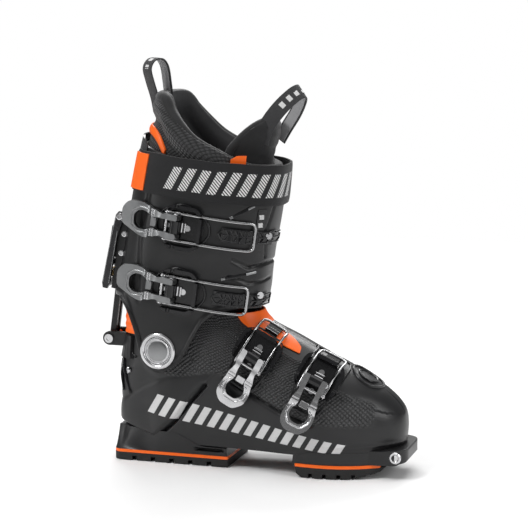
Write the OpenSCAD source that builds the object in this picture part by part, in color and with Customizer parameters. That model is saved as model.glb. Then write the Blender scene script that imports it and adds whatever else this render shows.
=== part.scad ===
// Alpine ski touring boot, right foot, mondopoint 26.5, sole length 305 mm.
// Origin: mid-sole mark on the ground plane. +X to the toe, +Y medial (left), +Z up.

/* [Sole] */
// Length of the boot sole, heel to toe
sole_l = 305; // [300:1:310]
// Width of the heel and toe lugs
lug_w = 69; // [67:0.5:71]
// Height of the heel and toe lugs above the ground
lug_h = 31; // [29:0.5:32]
// Thickness of the coloured layer between tread and shell
layer_t = 3; // [2:0.5:4]
// Radius of the pin sockets in the toe insert
socket_r = 2.7; // [2.5:0.1:3]
// Depth of the pin sockets in the toe insert
socket_depth = 5; // [3:0.5:6]

/* [Shell and cuff] */
// Wall thickness of the lower shell
shell_wall = 4.5; // [4:0.25:5]
// Wall thickness of the cuff
cuff_wall = 4.2; // [3.5:0.1:4.5]
// Distance of the cuff pivot behind the mid-sole mark
pivot_back = 98; // [96:0.5:100]
// Height of the cuff pivot above the ground
pivot_h = 118; // [116:0.5:120]
// Diameter of the pivot's visible disc
pivot_disc_d = 37; // [34:1:39]

/* [Liner] */
// Wall thickness of the padded liner
liner_wall = 8; // [6:0.5:9]
// Thickness of the liner's tongue
tongue_t = 6; // [5:0.5:7]

/* [Strap] */
// Width of the power strap
strap_w = 40; // [38:1:42]
// Thickness of the power strap
strap_t = 2.6; // [2:0.2:3]

/* [Buckles] */
// Length of a buckle lever from its pivot to its tail
lever_l = 62; // [58:1:64]
// Width of a buckle lever at its tail
lever_w = 36; // [34:1:38]
// Radius of a lever's hinge pin
lever_pin_r = 2; // [1.8:0.1:2.2]
// Diameter of the bail wire
wire_d = 2.8; // [2.4:0.2:3]
// Distance from a lever's pivot to its bail axle
throw = 10; // [9:0.5:11]

/* [Walk mechanism] */
// Radius of the heel pin that the walk bar turns on
walk_pin_r = 2.5; // [2:0.1:3]
// Width of the walk bar
bar_w = 12; // [11:0.5:13]

/* [Hidden] */

gap = 0.3;
running_gap = 0.05;
half_sole = sole_l / 2;
pivot_x = -pivot_back;
pivot_r = 7;
pressed = 0.02;
// Level of the foot's floor, and of the joint between the shell's tube and its sole frame
floor_z = 26.5;
split_z = 27;
// Radius of the toe lug's corners
toe_corner = 16;
// Radius and length of the bar that holds the toe pin sockets
insert_r = 5;
insert_l = 61;
toe_pin_x = half_sole - 10.5;
toe_pin_z = 22.5;

black = [0.07, 0.07, 0.08];
dark = [0.13, 0.13, 0.14];
orange = [0.95, 0.33, 0.05];
silver = [0.72, 0.73, 0.75];
cloth = [0.18, 0.18, 0.19];

// ---- Outlines of the lower shell, each a curve through [height, value] ----
shell_rear = [[8, -138], [22, -144], [35, -148], [55, -150], [80, -150], [105, -148],
              [131, -143], [150, -138], [170, -132]];
shell_front = [[8, 134], [22, 141], [35, 145], [50, 146], [62, 144], [70, 139], [78, 131],
               [86, 120], [95, 106], [106, 86], [118, 62], [131, 37], [143, 11], [150, 1],
               [158, -4], [170, -10]];
// Where the plan outline stops running straight and starts to round off to the toe
shell_wide = [[8, 60], [50, 60], [80, 30], [100, -10], [118, -50], [131, -70], [150, -84],
              [170, -84]];
// Squareness of the plan outline at the toe and at the heel
shell_nose = [[8, 2.4], [60, 2.4], [86, 2.2], [110, 2.1], [150, 2.2], [170, 2.3]];
shell_heel = [[8, 4.6], [60, 4.6], [90, 4], [110, 3.2], [131, 2.7], [170, 2.5]];
shell_girth = [[8, 0.84], [22, 0.9], [35, 0.96], [55, 1], [80, 1], [105, 0.98], [131, 0.97],
               [170, 0.95]];
// Half widths along the foot, as [x, half width]
width_lateral = [[-155, 36], [-120, 38], [-98, 41], [-50, 41], [0, 45], [40, 51], [70, 54],
                 [100, 53], [125, 48], [150, 42]];
width_medial = [[-155, 36], [-120, 37], [-98, 41], [-50, 39], [0, 42], [40, 48], [75, 52],
                [105, 51], [125, 47], [150, 42]];
foot_middle = [[-155, 0], [0, 0], [60, 1], [100, 3], [150, 4]];

// ---- Outlines of the cuff, by height ----
cuff_rear = [[90, -159], [140, -159], [160, -157.5], [208, -147], [266, -137], [317, -126],
             [345, -119], [375, -112]];
cuff_front = [[90, -1], [158, -1], [181, 3], [199, 5], [220, 8], [240, 12], [264, 16],
              [306, 20], [345, 23], [375, 25]];
cuff_half = [[90, 47], [130, 48], [160, 48.5], [200, 49.5], [240, 51.5], [280, 53.5], [320, 55],
             [375, 53]];
cuff_square = [[90, 3], [160, 2.8], [220, 2.5], [320, 2.3], [375, 2.2]];

// ---- Edges, as [x, height] ----
shell_rim = [[-160, 131], [-136, 133], [-120, 140], [-98, 149], [-60, 151], [-20, 149], [10, 147]];
cuff_low_rim = [[-160, 168], [-143, 168], [-131, 156], [-122, 136], [-116, 115], [-110, 104],
                [-98, 97], [-86, 100], [-72, 112], [-62, 130], [-50, 149], [-31, 160], [5, 164]];
cuff_top_rim = [[-130, 324], [-100, 318], [-60, 306], [-20, 298], [25, 295]];
liner_top_rim = [[-125, 373], [-108, 371], [-96, 359], [-79, 345], [-60, 332], [-33, 320], [0, 306],
                 [25, 302]];
strap_middle = [[-130, 299], [25, 284]];
trim_middle = [[-125, 338], [-100, 335], [-70, 318]];
strap_from = -152;
strap_to = 146;

// ---- Buckles: pivot point, roll about Y, lean of lever, lean of base ----
upper_at = [-76, -58.5, 245];
upper_turn = [8, -14, 0];
lower_at = [-82, -56, 181];
lower_turn = [8, -12, 2];
instep_at = [1, -48.2, 117];
instep_turn = [-61, 3, 14];
toe_at = [66, -50.5, 98];
toe_turn = [-66, 14, 32];
// Routes of the bail wires beyond the axle, in the frame of the base, as [forward, out]
upper_route = [[12, -3], [35, -4.5], [55, -8.5], [66, -13.2], [76.7, -20.1]];
lower_route = [[12, -3], [35, -3.8], [52, -6], [64, -10.2], [75, -15.6]];
instep_route = [[5, -3.2], [16, -5], [24, -8], [32, -14.6], [38, -25.2]];
toe_route = [[6, -3.4], [18, -9], [30, -17], [39, -26.5]];
// A rack's tooth, as [along, height], from the seat of the wire: gentle back, crest, steep foot
tooth = [[-4.5, 0], [-2, 1.2], [-0.55, 0]];
rack_pitch = 6.5;
// Degrees round the cuff for one millimetre along a rack
rack_turn = 0.93;

// ---- Walk mechanism ----
heel_pin_at = [-163, 121];
bar_top_at = [-152.5, 200];
spine_at = [-147.5, 0, 205];
spine_lean = 10.5;
walk_hinge = [-10, 41];

// ================= functions =================

// Cubic curve through the points of a table
function segment(t, x, i = 0) = i >= len(t) - 2 || x < t[i + 1][0] ? i : segment(t, x, i + 1);
function rise(t, i) =
    let (a = max(0, i - 1), b = min(len(t) - 1, i + 1))
    (t[b][1] - t[a][1]) / (t[b][0] - t[a][0]);
function curve(t, x) =
    let (i = segment(t, x), h = t[i + 1][0] - t[i][0], u = min(1, max(0, (x - t[i][0]) / h)))
    let (a = t[i][1], b = t[i + 1][1], m = rise(t, i) * h, n = rise(t, i + 1) * h)
    a + u * m + u * u * (3 * (b - a) - 2 * m - n) + u * u * u * (2 * (a - b) + m + n);

// Point of the lower shell at a height and an angle round it, 0 at the toe, moved inwards by inset
function shell_point(z, phi, inset = 0) =
    let (xr = curve(shell_rear, z) + inset, xf = curve(shell_front, z) - inset, xw = curve(shell_wide, z))
    let (x = (xr + xf) / 2 + (xf - xr) / 2 * cos(phi), side = sin(phi) >= 0 ? 1 : -1)
    let (t = x > xw ? (x - xw) / (xf - xw) : (xw - x) / (xw - xr))
    let (n = curve(x > xw ? shell_nose : shell_heel, z), k = pow(max(0, 1 - pow(t, n)), 1 / n))
    let (w = curve(side > 0 ? width_medial : width_lateral, x) * curve(shell_girth, z) - inset)
    [x, curve(foot_middle, x) + side * w * k, z];

// Point of the cuff at a height and an angle round it, 0 at the front
function cuff_point(z, phi, inset = 0) =
    let (xr = curve(cuff_rear, z) + inset, xf = curve(cuff_front, z) - inset, n = curve(cuff_square, z))
    let (k = pow(max(0, 1 - pow(abs(cos(phi)), n)), 1 / n), side = sin(phi) >= 0 ? 1 : -1)
    [(xr + xf) / 2 + (xf - xr) / 2 * cos(phi), side * (curve(cuff_half, z) - inset) * k, z];

function round_angles(n) = [for (i = [0 : n - 1]) 360 * (i + 0.5) / n];
function blend(a, b, u) = a + (b - a) * u;

// Rows of a wall: outer side upwards, then inner side downwards
function wall_rows(levels, angles, outer, inner) =
    concat([for (l = levels) [for (a = angles) outer(l, a)]],
           [for (i = [len(levels) - 1 : -1 : 0]) [for (a = angles) inner(levels[i], a)]]);

// Body that joins rings of points; closed joins the last ring to the first, otherwise the ends are capped
module skin(rings, closed = false) {
    n = len(rings[0]);
    m = len(rings);
    sides = [for (j = [0 : m - (closed ? 1 : 2)]) for (i = [0 : n - 1])
        let (a = j * n + i, b = j * n + (i + 1) % n)
        let (c = ((j + 1) % m) * n + (i + 1) % n, d = ((j + 1) % m) * n + i)
        each [[a, c, b], [a, d, c]]];
    first = [for (i = [0 : n / 2 - 2]) each [[i, i + 1, n - 2 - i], [i, n - 2 - i, n - 1 - i]]];
    last = [for (f = first) [for (k = [2 : -1 : 0]) f[k] + (m - 1) * n]];
    polyhedron(points = [for (r = rings) each r], faces = closed ? sides : concat(sides, first, last));
}

// Section of a patch between two surfaces at one angle: inner side upwards, outer side downwards
function patch_section(inner, outer) = concat(inner, [for (i = [len(outer) - 1 : -1 : 0]) outer[i]]);

// Flat band swept along points; wide is the direction across the band
module band(points, wide, w, t) {
    n = len(points);
    unit = function (v) v / norm(v);
    rings = [for (i = [0 : n - 1])
        let (along = unit(points[min(n - 1, i + 1)] - points[max(0, i - 1)]))
        let (up = unit(cross(along, wide)), side = unit(cross(up, along)))
        [points[i] - side * w / 2 - up * t / 2, points[i] + side * w / 2 - up * t / 2,
         points[i] + side * w / 2 + up * t / 2, points[i] - side * w / 2 + up * t / 2]];
    skin(rings);
}

// Round wire along a route that never runs along the direction reference
module wire(points, d, reference = [0.5, 0, 1]) {
    n = len(points);
    sides = 10;
    unit = function (v) v / norm(v);
    rings = [for (i = [0 : n - 1])
        let (before = unit(points[max(1, i)] - points[max(0, i - 1)]))
        let (after = unit(points[min(n - 1, i + 1)] - points[min(n - 2, i)]))
        let (along = unit(before + after), wider = 1 / norm((before + after) / 2))
        let (across = unit(cross(reference, along)), up = cross(along, across))
        let (bend = norm(after - before) > 0.01 ? unit(after - before) : up)
        [for (k = [0 : sides - 1])
            let (v = d / 2 * (across * cos(360 * k / sides) + up * sin(360 * k / sides)))
            points[i] + v + bend * (v * bend) * (wider - 1)]];
    skin(rings);
}

// Cylinder along Y, centred
module rod(r, l, fn = 48) {
    rotate([90, 0, 0])
        cylinder(r = r, h = l, center = true, $fn = fn);
}

module ring(r_in, r_out, l) {
    difference() {
        rod(r_out, l);
        rod(r_in, l + 1);
    }
}

// Frame of a buckle: x forward along the strap, y across it, z out of the boot
module at_buckle(place, roll, lean) {
    translate(place)
        rotate([0, roll, 0])
            rotate([90, 0, 0])
                rotate([0, lean, 0])
                    children();
}

// Frame of the spine at the back of the cuff: z up the spine, -x out of the boot
module at_spine() {
    translate(spine_at)
        rotate([0, spine_lean, 0])
            children();
}

module rounded_rect(x0, x1, w, r) {
    hull()
        for (x = [x0 + r, x1 - r], y = [-w / 2 + r, w / 2 - r])
            translate([x, y])
                circle(r = r, $fn = 32);
}

// ================= lower shell =================
shell_levels = [22, 28, 36, 48, 60, 68, 76, 84, 92, 101, 110, 120];
shell_angles = round_angles(44);

function shell_edge(phi) = curve(shell_rim, shell_point(143, phi)[0]);
function shell_row(level, phi, inset) =
    shell_point(level <= 120 ? level : blend(120, shell_edge(phi), level - 120), phi, inset);

module sole_plan(x0, x1, inset) {
    intersection() {
        polygon([for (a = round_angles(72)) let (p = shell_point(30, a, inset)) [p[0], p[1]]]);
        translate([x0, -100])
            square([x1 - x0, 200]);
    }
}

module heel_plan(inset = 0) {
    translate([-half_sole + inset, -lug_w / 2 + inset])
        hull() {
            for (y = [9, lug_w - 2 * inset - 9])
                translate([9, y])
                    circle(r = 9, $fn = 40);
            translate([118 - inset, 0])
                square([4.5, lug_w - 2 * inset]);
        }
}

// Side view of the toe lug, from the ball of the foot to the tip
module toe_lug_side() {
    polygon([[96, 24], [98, 13.5], [126, 14], [142, 14.5], [half_sole, 17.5], [half_sole, lug_h - 1],
             [140, lug_h - 1.5], [126, lug_h - 3], [110, 28]]);
}

module toe_plan() {
    hull() {
        translate([60, -lug_w / 2])
            square([1, lug_w]);
        for (side = [-1, 1])
            translate([half_sole - toe_corner, side * (lug_w / 2 - toe_corner)])
                circle(r = toe_corner, $fn = 48);
    }
}

// The shell with its sole blocks and toe lug, before it is parted at the foot's floor
module shell_body() {
    outer_levels = concat(shell_levels, [120.5, 121]);
    inner_levels = [for (i = [len(outer_levels) - 1 : -1 : 2]) outer_levels[i]];
    rows = concat(
        [for (l = outer_levels) [for (a = shell_angles) shell_row(l, a, 0)]],
        [for (l = inner_levels) [for (a = shell_angles) shell_row(l, a, shell_wall)]],
        [[for (a = shell_angles) shell_row(floor_z, a, shell_wall)]]);
    difference() {
        union() {
            skin(rows);
            translate([0, 0, 8 + layer_t])
                linear_extrude(height = lug_h - 8 - layer_t)
                    heel_plan();
            translate([0, 0, 10.5 + layer_t])
                linear_extrude(height = 10.5)
                    sole_plan(40, 118, 1.5);
            intersection() {
                rotate([90, 0, 0])
                    linear_extrude(height = 100, center = true)
                        toe_lug_side();
                linear_extrude(height = 60)
                    toe_plan();
            }
        }
        translate([0, 0, floor_z + 0.2])
            linear_extrude(height = 6)
                polygon([for (a = shell_angles)
                    let (p = shell_point(floor_z, a, shell_wall + 0.3))
                    [p[0], p[1]]]);
        translate([pivot_x, 0, pivot_h])
            rod(pivot_r, 120);
        translate([toe_pin_x, 0, toe_pin_z])
            rod(insert_r, 120);
        translate([-half_sole - 1, -8.25, 12])
            cube([9.3, 16.5, 21]);
    }
}

module lower_shell() {
    color(black)
        intersection() {
            shell_body();
            translate([-200, -100, split_z])
                cube([400, 200, 200]);
        }
}

module sole_frame() {
    color(black)
        intersection() {
            shell_body();
            translate([-200, -100, 0])
                cube([400, 200, split_z]);
        }
}

module front_gaiter() {
    levels = [120, 120.5, 121];
    sections = [for (i = [-7 : 6]) let (a = 360 * (i + 0.5) / len(shell_angles)) patch_section(
        [for (l = levels) shell_row(l, a, -gap)],
        [for (l = levels) shell_row(l, a, -1.8)])];
    color(orange)
        skin(sections);
}

module rear_gaiter() {
    heights = [130, 136, 143, 151, 160];
    sections = [for (a = [128 : 6 : 232]) patch_section(
        [for (z = heights) cuff_point(z, a, 14)],
        [for (z = heights) cuff_point(z, a, 12.4)])];
    color(orange)
        skin(sections);
}

// ================= sole =================
module heel_tread() {
    color(black)
        difference() {
            linear_extrude(height = 8)
                heel_plan();
            for (x = [-132, -112, -92, -72, -52])
                translate([x, -lug_w, -1])
                    cube([5, 2 * lug_w, 5.5]);
            translate([-140, -5, -1])
                cube([100, 10, 4]);
        }
}

module heel_layer() {
    color(orange)
        translate([0, 0, 8])
            linear_extrude(height = layer_t)
                heel_plan();
}

module toe_tread() {
    color(black)
        difference() {
            intersection() {
                rotate([90, 0, 0])
                    linear_extrude(height = 160, center = true)
                        polygon([[44, 10.5], [45, 4], [51, 0], [98, 0], [112, 2.5], [126, 6.5], [131, 11],
                                 [126, 10.5]]);
                linear_extrude(height = 30)
                    sole_plan(44, 131, 0.5);
            }
            for (x = [58, 72, 86, 100, 113])
                translate([x, -80, -1])
                    cube([4, 160, 5.5]);
            translate([48, -4, -1])
                cube([80, 8, 4]);
        }
}

module toe_layer() {
    color(orange)
        intersection() {
            translate([0, 0, 10.5])
                linear_extrude(height = layer_t)
                    sole_plan(44, 131, 0.5);
            translate([40, -80, 0])
                cube([86, 160, 30]);
        }
}

module toe_insert() {
    color(silver)
        translate([toe_pin_x, 0, toe_pin_z])
            difference() {
                rod(insert_r, insert_l);
                for (side = [-1, 1])
                    translate([0, side * insert_l / 2, 0])
                        rod(socket_r, 2 * socket_depth);
            }
}

module heel_insert() {
    color(silver)
        difference() {
            translate([-half_sole + 0.2, -8, 12.3])
                cube([8, 16, 20.4]);
            for (side = [-1, 1])
                translate([-half_sole - 1, side * 5 - 1.6, 11])
                    cube([4.2, 3.2, 16]);
            translate([-half_sole, 0, 28.5])
                rotate([0, 90, 0])
                    cylinder(r = 2.1, h = 20, $fn = 32);
        }
}

module heel_insert_screws() {
    color(silver)
        translate([-half_sole + 0.4, 0, 28.5])
            rotate([0, 90, 0]) {
                cylinder(r = 2, h = 11, $fn = 32);
                cylinder(r = 3.2, h = 1.6, $fn = 32);
            }
}

// ================= inside the lower shell =================
module boot_board() {
    color(cloth)
        skin([for (z = [27, 30.5]) [for (a = shell_angles) shell_point(z, a, shell_wall + 1.5)]]);
}

module footbed() {
    color(dark)
        skin([for (z = [31, 33.5]) [for (a = shell_angles) shell_point(z, a, shell_wall + 2.5)]]);
}

module liner_foot() {
    levels = [34, 44, 56, 68, 78, 88, 98, 108, 118];
    top = function (phi) min(146, shell_edge(phi) + 4);
    row = function (l, phi, inset) shell_point(l <= 118 ? l : blend(118, top(phi), l - 118), phi, inset);
    outer_levels = concat(levels, [118.5, 119]);
    rows = concat(
        [for (l = outer_levels) [for (a = shell_angles) row(l, a, shell_wall + 0.8)]],
        [for (i = [len(outer_levels) - 1 : -1 : 1])
            [for (a = shell_angles) row(outer_levels[i], a, shell_wall + 0.8 + liner_wall)]]);
    color(cloth)
        difference() {
            skin(rows);
            translate([pivot_x, 0, pivot_h])
                rod(11, 120);
        }
}

// ================= cuff pivots =================
module pivot(side) {
    color(silver)
        translate([pivot_x, side * 48.2, pivot_h])
            rotate([-side * 90, 0, 0])
                difference() {
                    union() {
                        cylinder(r = pivot_disc_d / 2, h = 2.4, $fn = 96);
                        translate([0, 0, -16.6])
                            cylinder(r = pivot_r - pressed, h = 16.6, $fn = 64);
                        translate([0, 0, -18.4])
                            cylinder(r = 9.5, h = 2, $fn = 64);
                    }
                    difference() {
                        translate([0, 0, 1])
                            cylinder(r = pivot_disc_d / 2 - 4.5, h = 5, $fn = 96);
                        cylinder(r = 10.5, h = 2.2, $fn = 64);
                    }
                }
}

module pivot_lateral() {
    pivot(-1);
}

module pivot_medial() {
    pivot(1);
}

module cuff_bushings() {
    color(dark)
        for (side = [-1, 1])
            translate([pivot_x, side * 45.2, pivot_h])
                ring(pivot_r + running_gap, 10 - pressed, 4.8);
}

// ================= heel bracket and walk bar =================
module heel_bracket() {
    heights = [104, 112, 120, 127];
    sections = [for (a = [150 : 5 : 210]) patch_section(
        [for (z = heights) shell_point(z, a, -gap)],
        [for (z = heights) shell_point(z, a, -3.5)])];
    color(black)
        difference() {
            union() {
                skin(sections);
                for (side = [-1, 1])
                    translate([heel_pin_at[0], side * 13, heel_pin_at[1]]) {
                        rod(7, 4);
                        translate([0, -2, -7])
                            cube([19, 4, 14]);
                    }
            }
            translate([heel_pin_at[0], 0, heel_pin_at[1]])
                rod(walk_pin_r, 60);
        }
}

module walk_pin() {
    color(silver)
        translate([heel_pin_at[0], 0, heel_pin_at[1]])
            rod(walk_pin_r, 33);
}

module walk_bushings() {
    color(orange)
        for (side = [-1, 1])
            translate([heel_pin_at[0], side * 8.8, heel_pin_at[1]])
                ring(walk_pin_r + running_gap, 5.6, 3.8);
}

module bracket_bolts() {
    color(silver)
        for (side = [-1, 1])
            translate([heel_pin_at[0], side * 16.2, heel_pin_at[1]])
                ring(walk_pin_r, 4.6, 2);
}

module walk_bar() {
    run = bar_top_at - heel_pin_at;
    tilt = atan2(run[0], run[1]);
    color(dark)
        translate([heel_pin_at[0], 0, heel_pin_at[1]])
            rotate([0, tilt, 0])
                difference() {
                    union() {
                        rod(5.4, bar_w);
                        translate([-2, -bar_w / 2, 0])
                            cube([4, bar_w, norm(run)]);
                        for (side = [-1, 1])
                            translate([-3, side * (bar_w / 2 - 1.5) - 1.5, 4])
                                cube([6, 3, 46]);
                    }
                    rod(walk_pin_r + running_gap, 60);
                }
}

// ================= buckles =================
module lever() {
    color(silver)
        difference() {
            union() {
                for (side = [-1, 1]) {
                    translate([0, side * 9.25, 0])
                        rod(4.5, 5.5);
                    translate([-30, side * 9.25 - 2.75, -2.4])
                        cube([30, 5.5, 5]);
                }
                translate([0, 0, -2.4])
                    linear_extrude(height = 5)
                        difference() {
                            hull() {
                                translate([-29, -14.5])
                                    square([2, 29]);
                                for (side = [-1, 1]) {
                                    translate([-37, side * (lever_w / 2 - 6)])
                                        circle(r = 6, $fn = 32);
                                    translate([-lever_l + 9, side * (lever_w / 2 - 10)])
                                        circle(r = 9, $fn = 32);
                                }
                            }
                            rounded_rect(-lever_l + 8, -34, lever_w - 16, 5);
                        }
                translate([-throw, 0, 0])
                    rod(1.6, 30.4);
            }
            rod(lever_pin_r + running_gap, 60);
        }
}

module lever_pin() {
    color(silver)
        rod(lever_pin_r, 24.4);
}

// Base: a plate on the shell, the knuckle of the hinge and a bumper with slots for the bail wires
module buckle_base(bottom_z = -8.6, top_z = -5.9) {
    color(black)
        difference() {
            union() {
                translate([0, 0, bottom_z])
                    linear_extrude(height = top_z - bottom_z)
                        rounded_rect(-12, 27, 44, 11);
                translate([-5, -6.2, top_z - 1])
                    cube([10, 12.4, 1 - top_z]);
                rod(5, 12.4);
                translate([0, 0, top_z - 1])
                    linear_extrude(height = 7)
                        difference() {
                            rounded_rect(-12, 27, 44, 11);
                            rounded_rect(-30, 23.5, 37, 8);
                        }
            }
            rod(lever_pin_r + pressed, 60);
            for (side = [-1, 1])
                translate([8, side * 13.8 - 2.2, bottom_z - 1])
                    cube([30, 4.4, 20]);
        }
}

// Bail: a U of wire from the lever's axle, whose cross wire hooks on the rack
module bail(lean, route) {
    start = [-throw * cos(lean), throw * sin(lean)];
    wire_y = 13.8;
    last = route[len(route) - 1];
    half = concat([[start[0] + 1, wire_y, start[1]]],
                  [for (i = [0 : len(route) - 2]) [route[i][0], wire_y, route[i][1]]],
                  [[blend(route[len(route) - 2][0], last[0], 0.8), wire_y,
                    blend(route[len(route) - 2][1], last[1], 0.8)],
                   [last[0], wire_y - 4, last[1]]]);
    other = [for (i = [len(half) - 1 : -1 : 0]) [half[i][0], -half[i][1], half[i][2]]];
    color(silver)
        difference() {
            union() {
                wire(concat(half, other), wire_d);
                for (side = [-1, 1])
                    translate([start[0], side * wire_y, start[1]])
                        rod(3.2, 2.4);
            }
            translate([start[0], 0, start[1]])
                rod(1.6 + running_gap, 60);
        }
}

// Rack round the front of the cuff; the bail's cross wire rests in the valley at the angle seat
module cuff_rack(z, seat, from, to) {
    step = (to - from) / 6;
    point = function (phi, off) let (p = cuff_point(z, phi, -off)) [p[0], p[1]];
    inner = [for (i = [0 : 6]) point(from + i * step, -0.6)];
    teeth = [for (k = [1 : -1 : -3]) for (i = [2 : -1 : 0])
        point(seat + (k * rack_pitch + tooth[i][0]) * rack_turn, 2.6 + tooth[i][1])];
    color(black)
        translate([-30, 0, z])
            rotate([0, 8, 0])
                translate([30, 0, -7])
                    linear_extrude(height = 14)
                        polygon(concat(inner, [point(to, 2.6)], teeth, [point(from, 2.6)]));
}

// Straight rack for the lower shell; the bail's cross wire rests at the origin
module shell_rack() {
    floor_w = -wire_d / 2 - 0.15;
    teeth = [for (k = [1 : -1 : -1]) for (i = [2 : -1 : 0])
        [k * rack_pitch + tooth[i][0], floor_w + tooth[i][1]]];
    color(black)
        rotate([90, 0, 0])
            linear_extrude(height = 14, center = true)
                polygon(concat([[-12, -5.4], [9, -5.4], [9, floor_w]], teeth, [[-12, floor_w]]));
}

module upper_lever() {
    at_buckle(upper_at, upper_turn[0], upper_turn[1])
        lever();
}

module lower_lever() {
    at_buckle(lower_at, lower_turn[0], lower_turn[1])
        lever();
}

module instep_lever() {
    at_buckle(instep_at, instep_turn[0], instep_turn[1])
        lever();
}

module toe_lever() {
    at_buckle(toe_at, toe_turn[0], toe_turn[1])
        lever();
}

module upper_bail() {
    at_buckle(upper_at, upper_turn[0], upper_turn[2])
        bail(upper_turn[1] - upper_turn[2], upper_route);
}

module lower_bail() {
    at_buckle(lower_at, lower_turn[0], lower_turn[2])
        bail(lower_turn[1] - lower_turn[2], lower_route);
}

module instep_bail() {
    at_buckle(instep_at, instep_turn[0], instep_turn[2])
        bail(instep_turn[1] - instep_turn[2], instep_route);
}

module toe_bail() {
    at_buckle(toe_at, toe_turn[0], toe_turn[2])
        bail(toe_turn[1] - toe_turn[2], toe_route);
}

module upper_base() {
    at_buckle(upper_at, upper_turn[0], upper_turn[2])
        buckle_base();
}

module lower_base() {
    at_buckle(lower_at, lower_turn[0], lower_turn[2])
        buckle_base();
}

module instep_base() {
    at_buckle(instep_at, instep_turn[0], instep_turn[2])
        buckle_base(-9.4);
}

module toe_base() {
    at_buckle(toe_at, toe_turn[0], toe_turn[2])
        buckle_base(-10.8, -6.8);
}

module upper_rack() {
    cuff_rack(238.5, -36, -64, -13);
}

module lower_rack() {
    cuff_rack(173.7, -34, -63, -12);
}

module instep_rack() {
    at_buckle(instep_at, instep_turn[0], instep_turn[2])
        translate([instep_route[4][0], 0, instep_route[4][1]])
            rotate([0, 64, 0])
                shell_rack();
}

module toe_rack() {
    at_buckle(toe_at, toe_turn[0], toe_turn[2])
        translate([toe_route[3][0], 0, toe_route[3][1]])
            rotate([0, 49, 0])
                shell_rack();
}

module shell_lever_pins() {
    at_buckle(instep_at, instep_turn[0], instep_turn[2])
        lever_pin();
    at_buckle(toe_at, toe_turn[0], toe_turn[2])
        lever_pin();
}

module cuff_lever_pins() {
    at_buckle(upper_at, upper_turn[0], upper_turn[2])
        lever_pin();
    at_buckle(lower_at, lower_turn[0], lower_turn[2])
        lever_pin();
}

module base_rivets() {
    color(silver)
        for (x = [-9.5, 12])
            translate([x, 0, -10.4]) {
                cylinder(r = 1.8, h = 5, $fn = 32);
                translate([0, 0, 4.3])
                    cylinder(r = 3, h = 1.2, $fn = 32);
            }
}

module shell_rivets() {
    at_buckle(instep_at, instep_turn[0], instep_turn[2])
        base_rivets();
    at_buckle(toe_at, toe_turn[0], toe_turn[2])
        base_rivets();
}

module cuff_rivets() {
    at_buckle(upper_at, upper_turn[0], upper_turn[2])
        base_rivets();
    at_buckle(lower_at, lower_turn[0], lower_turn[2])
        base_rivets();
}

module rack_screws() {
    color(silver)
        for (c = [[235, -16], [175.5, -15]]) {
            p = cuff_point(c[0], c[1], 2);
            translate(p)
                rotate([0, 90, -50])
                    cylinder(r = 3.4, h = 7, $fn = 32);
        }
}

// ================= cuff =================
cuff_angles = round_angles(48);
cuff_steps = [0, 0.06, 0.16, 0.28, 0.4, 0.52, 0.64, 0.76, 0.88, 1];

function cuff_height(step, phi) =
    let (x = cuff_point(150, phi)[0])
    blend(curve(cuff_low_rim, x), curve(cuff_top_rim, cuff_point(310, phi)[0]), step);

module cuff() {
    rows = wall_rows(cuff_steps, cuff_angles,
        function (s, a) cuff_point(cuff_height(s, a), a),
        function (s, a) cuff_point(cuff_height(s, a), a, cuff_wall));
    color(black)
        difference() {
            skin(rows, closed = true);
            translate([pivot_x, 0, pivot_h])
                rod(10, 120);
            at_spine()
                translate([-20, -8, -60])
                    cube([40, 16, 104]);
        }
}

module spoiler() {
    heights = [300, 310, 320, 332];
    sections = [for (a = [142 : 4 : 218]) patch_section(
        [for (z = heights) cuff_point(z, a, -gap)],
        [for (z = heights) cuff_point(z, a, -2.4)])];
    color(dark)
        skin(sections);
}

module power_strap() {
    height = function (phi, side) curve(strap_middle, cuff_point(292, phi)[0]) + side * strap_w / 2;
    sections = [for (i = [0 : 48]) let (a = blend(strap_from, strap_to, i / 48)) patch_section(
        [for (s = [-1, 0, 1]) cuff_point(height(a, s), a, -2.6)],
        [for (s = [-1, 0, 1]) cuff_point(height(a, s), a, -2.6 - strap_t)])];
    color(black)
        skin(sections);
}

module strap_tab() {
    sections = [for (a = [-151 : 4 : -131]) patch_section(
        [for (s = [-18, 18]) cuff_point(299 + s, a, -2.8 - strap_t)],
        [for (s = [-18, 18]) cuff_point(299 + s, a, -4 - strap_t)])];
    color(orange)
        skin(sections);
}

module strap_ring() {
    p = cuff_point(290, 62, -5.6 - strap_t);
    color(silver)
        translate(p)
            rotate([0, 6, -24])
                difference() {
                    cube([11, 2.4, 46], center = true);
                    cube([6, 5, 41], center = true);
                }
}

// ================= liner =================
function liner_low(x) =
    x < -42 ? 118 + sqrt(max(0, 4900 - (x + 98) * (x + 98))) : 118 + 0.75 * (x + 98);
function liner_height(step, phi) =
    blend(liner_low(cuff_point(160, phi, 9)[0]), curve(liner_top_rim, cuff_point(330, phi)[0]), step);

module liner_shaft() {
    rows = wall_rows(cuff_steps, cuff_angles,
        function (s, a) cuff_point(liner_height(s, a), a, cuff_wall + 0.6),
        function (s, a) cuff_point(liner_height(s, a), a, cuff_wall + 0.6 + liner_wall));
    color(cloth)
        difference() {
            skin(rows, closed = true);
            at_spine()
                translate([-20, -9, -60])
                    cube([31, 18, 108]);
        }
}

module liner_tongue() {
    inset = cuff_wall + liner_wall + 1.2;
    heights = [182, 210, 240, 270, 300, 325, 350];
    sections = [for (a = [-54 : 6 : 54]) patch_section(
        [for (z = heights) cuff_point(blend(z, 182 + (z - 182) * 0.9, abs(a) / 54), a, inset + tongue_t)],
        [for (z = heights) cuff_point(blend(z, 182 + (z - 182) * 0.9, abs(a) / 54), a, inset)])];
    color(cloth)
        skin(sections);
}

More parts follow.
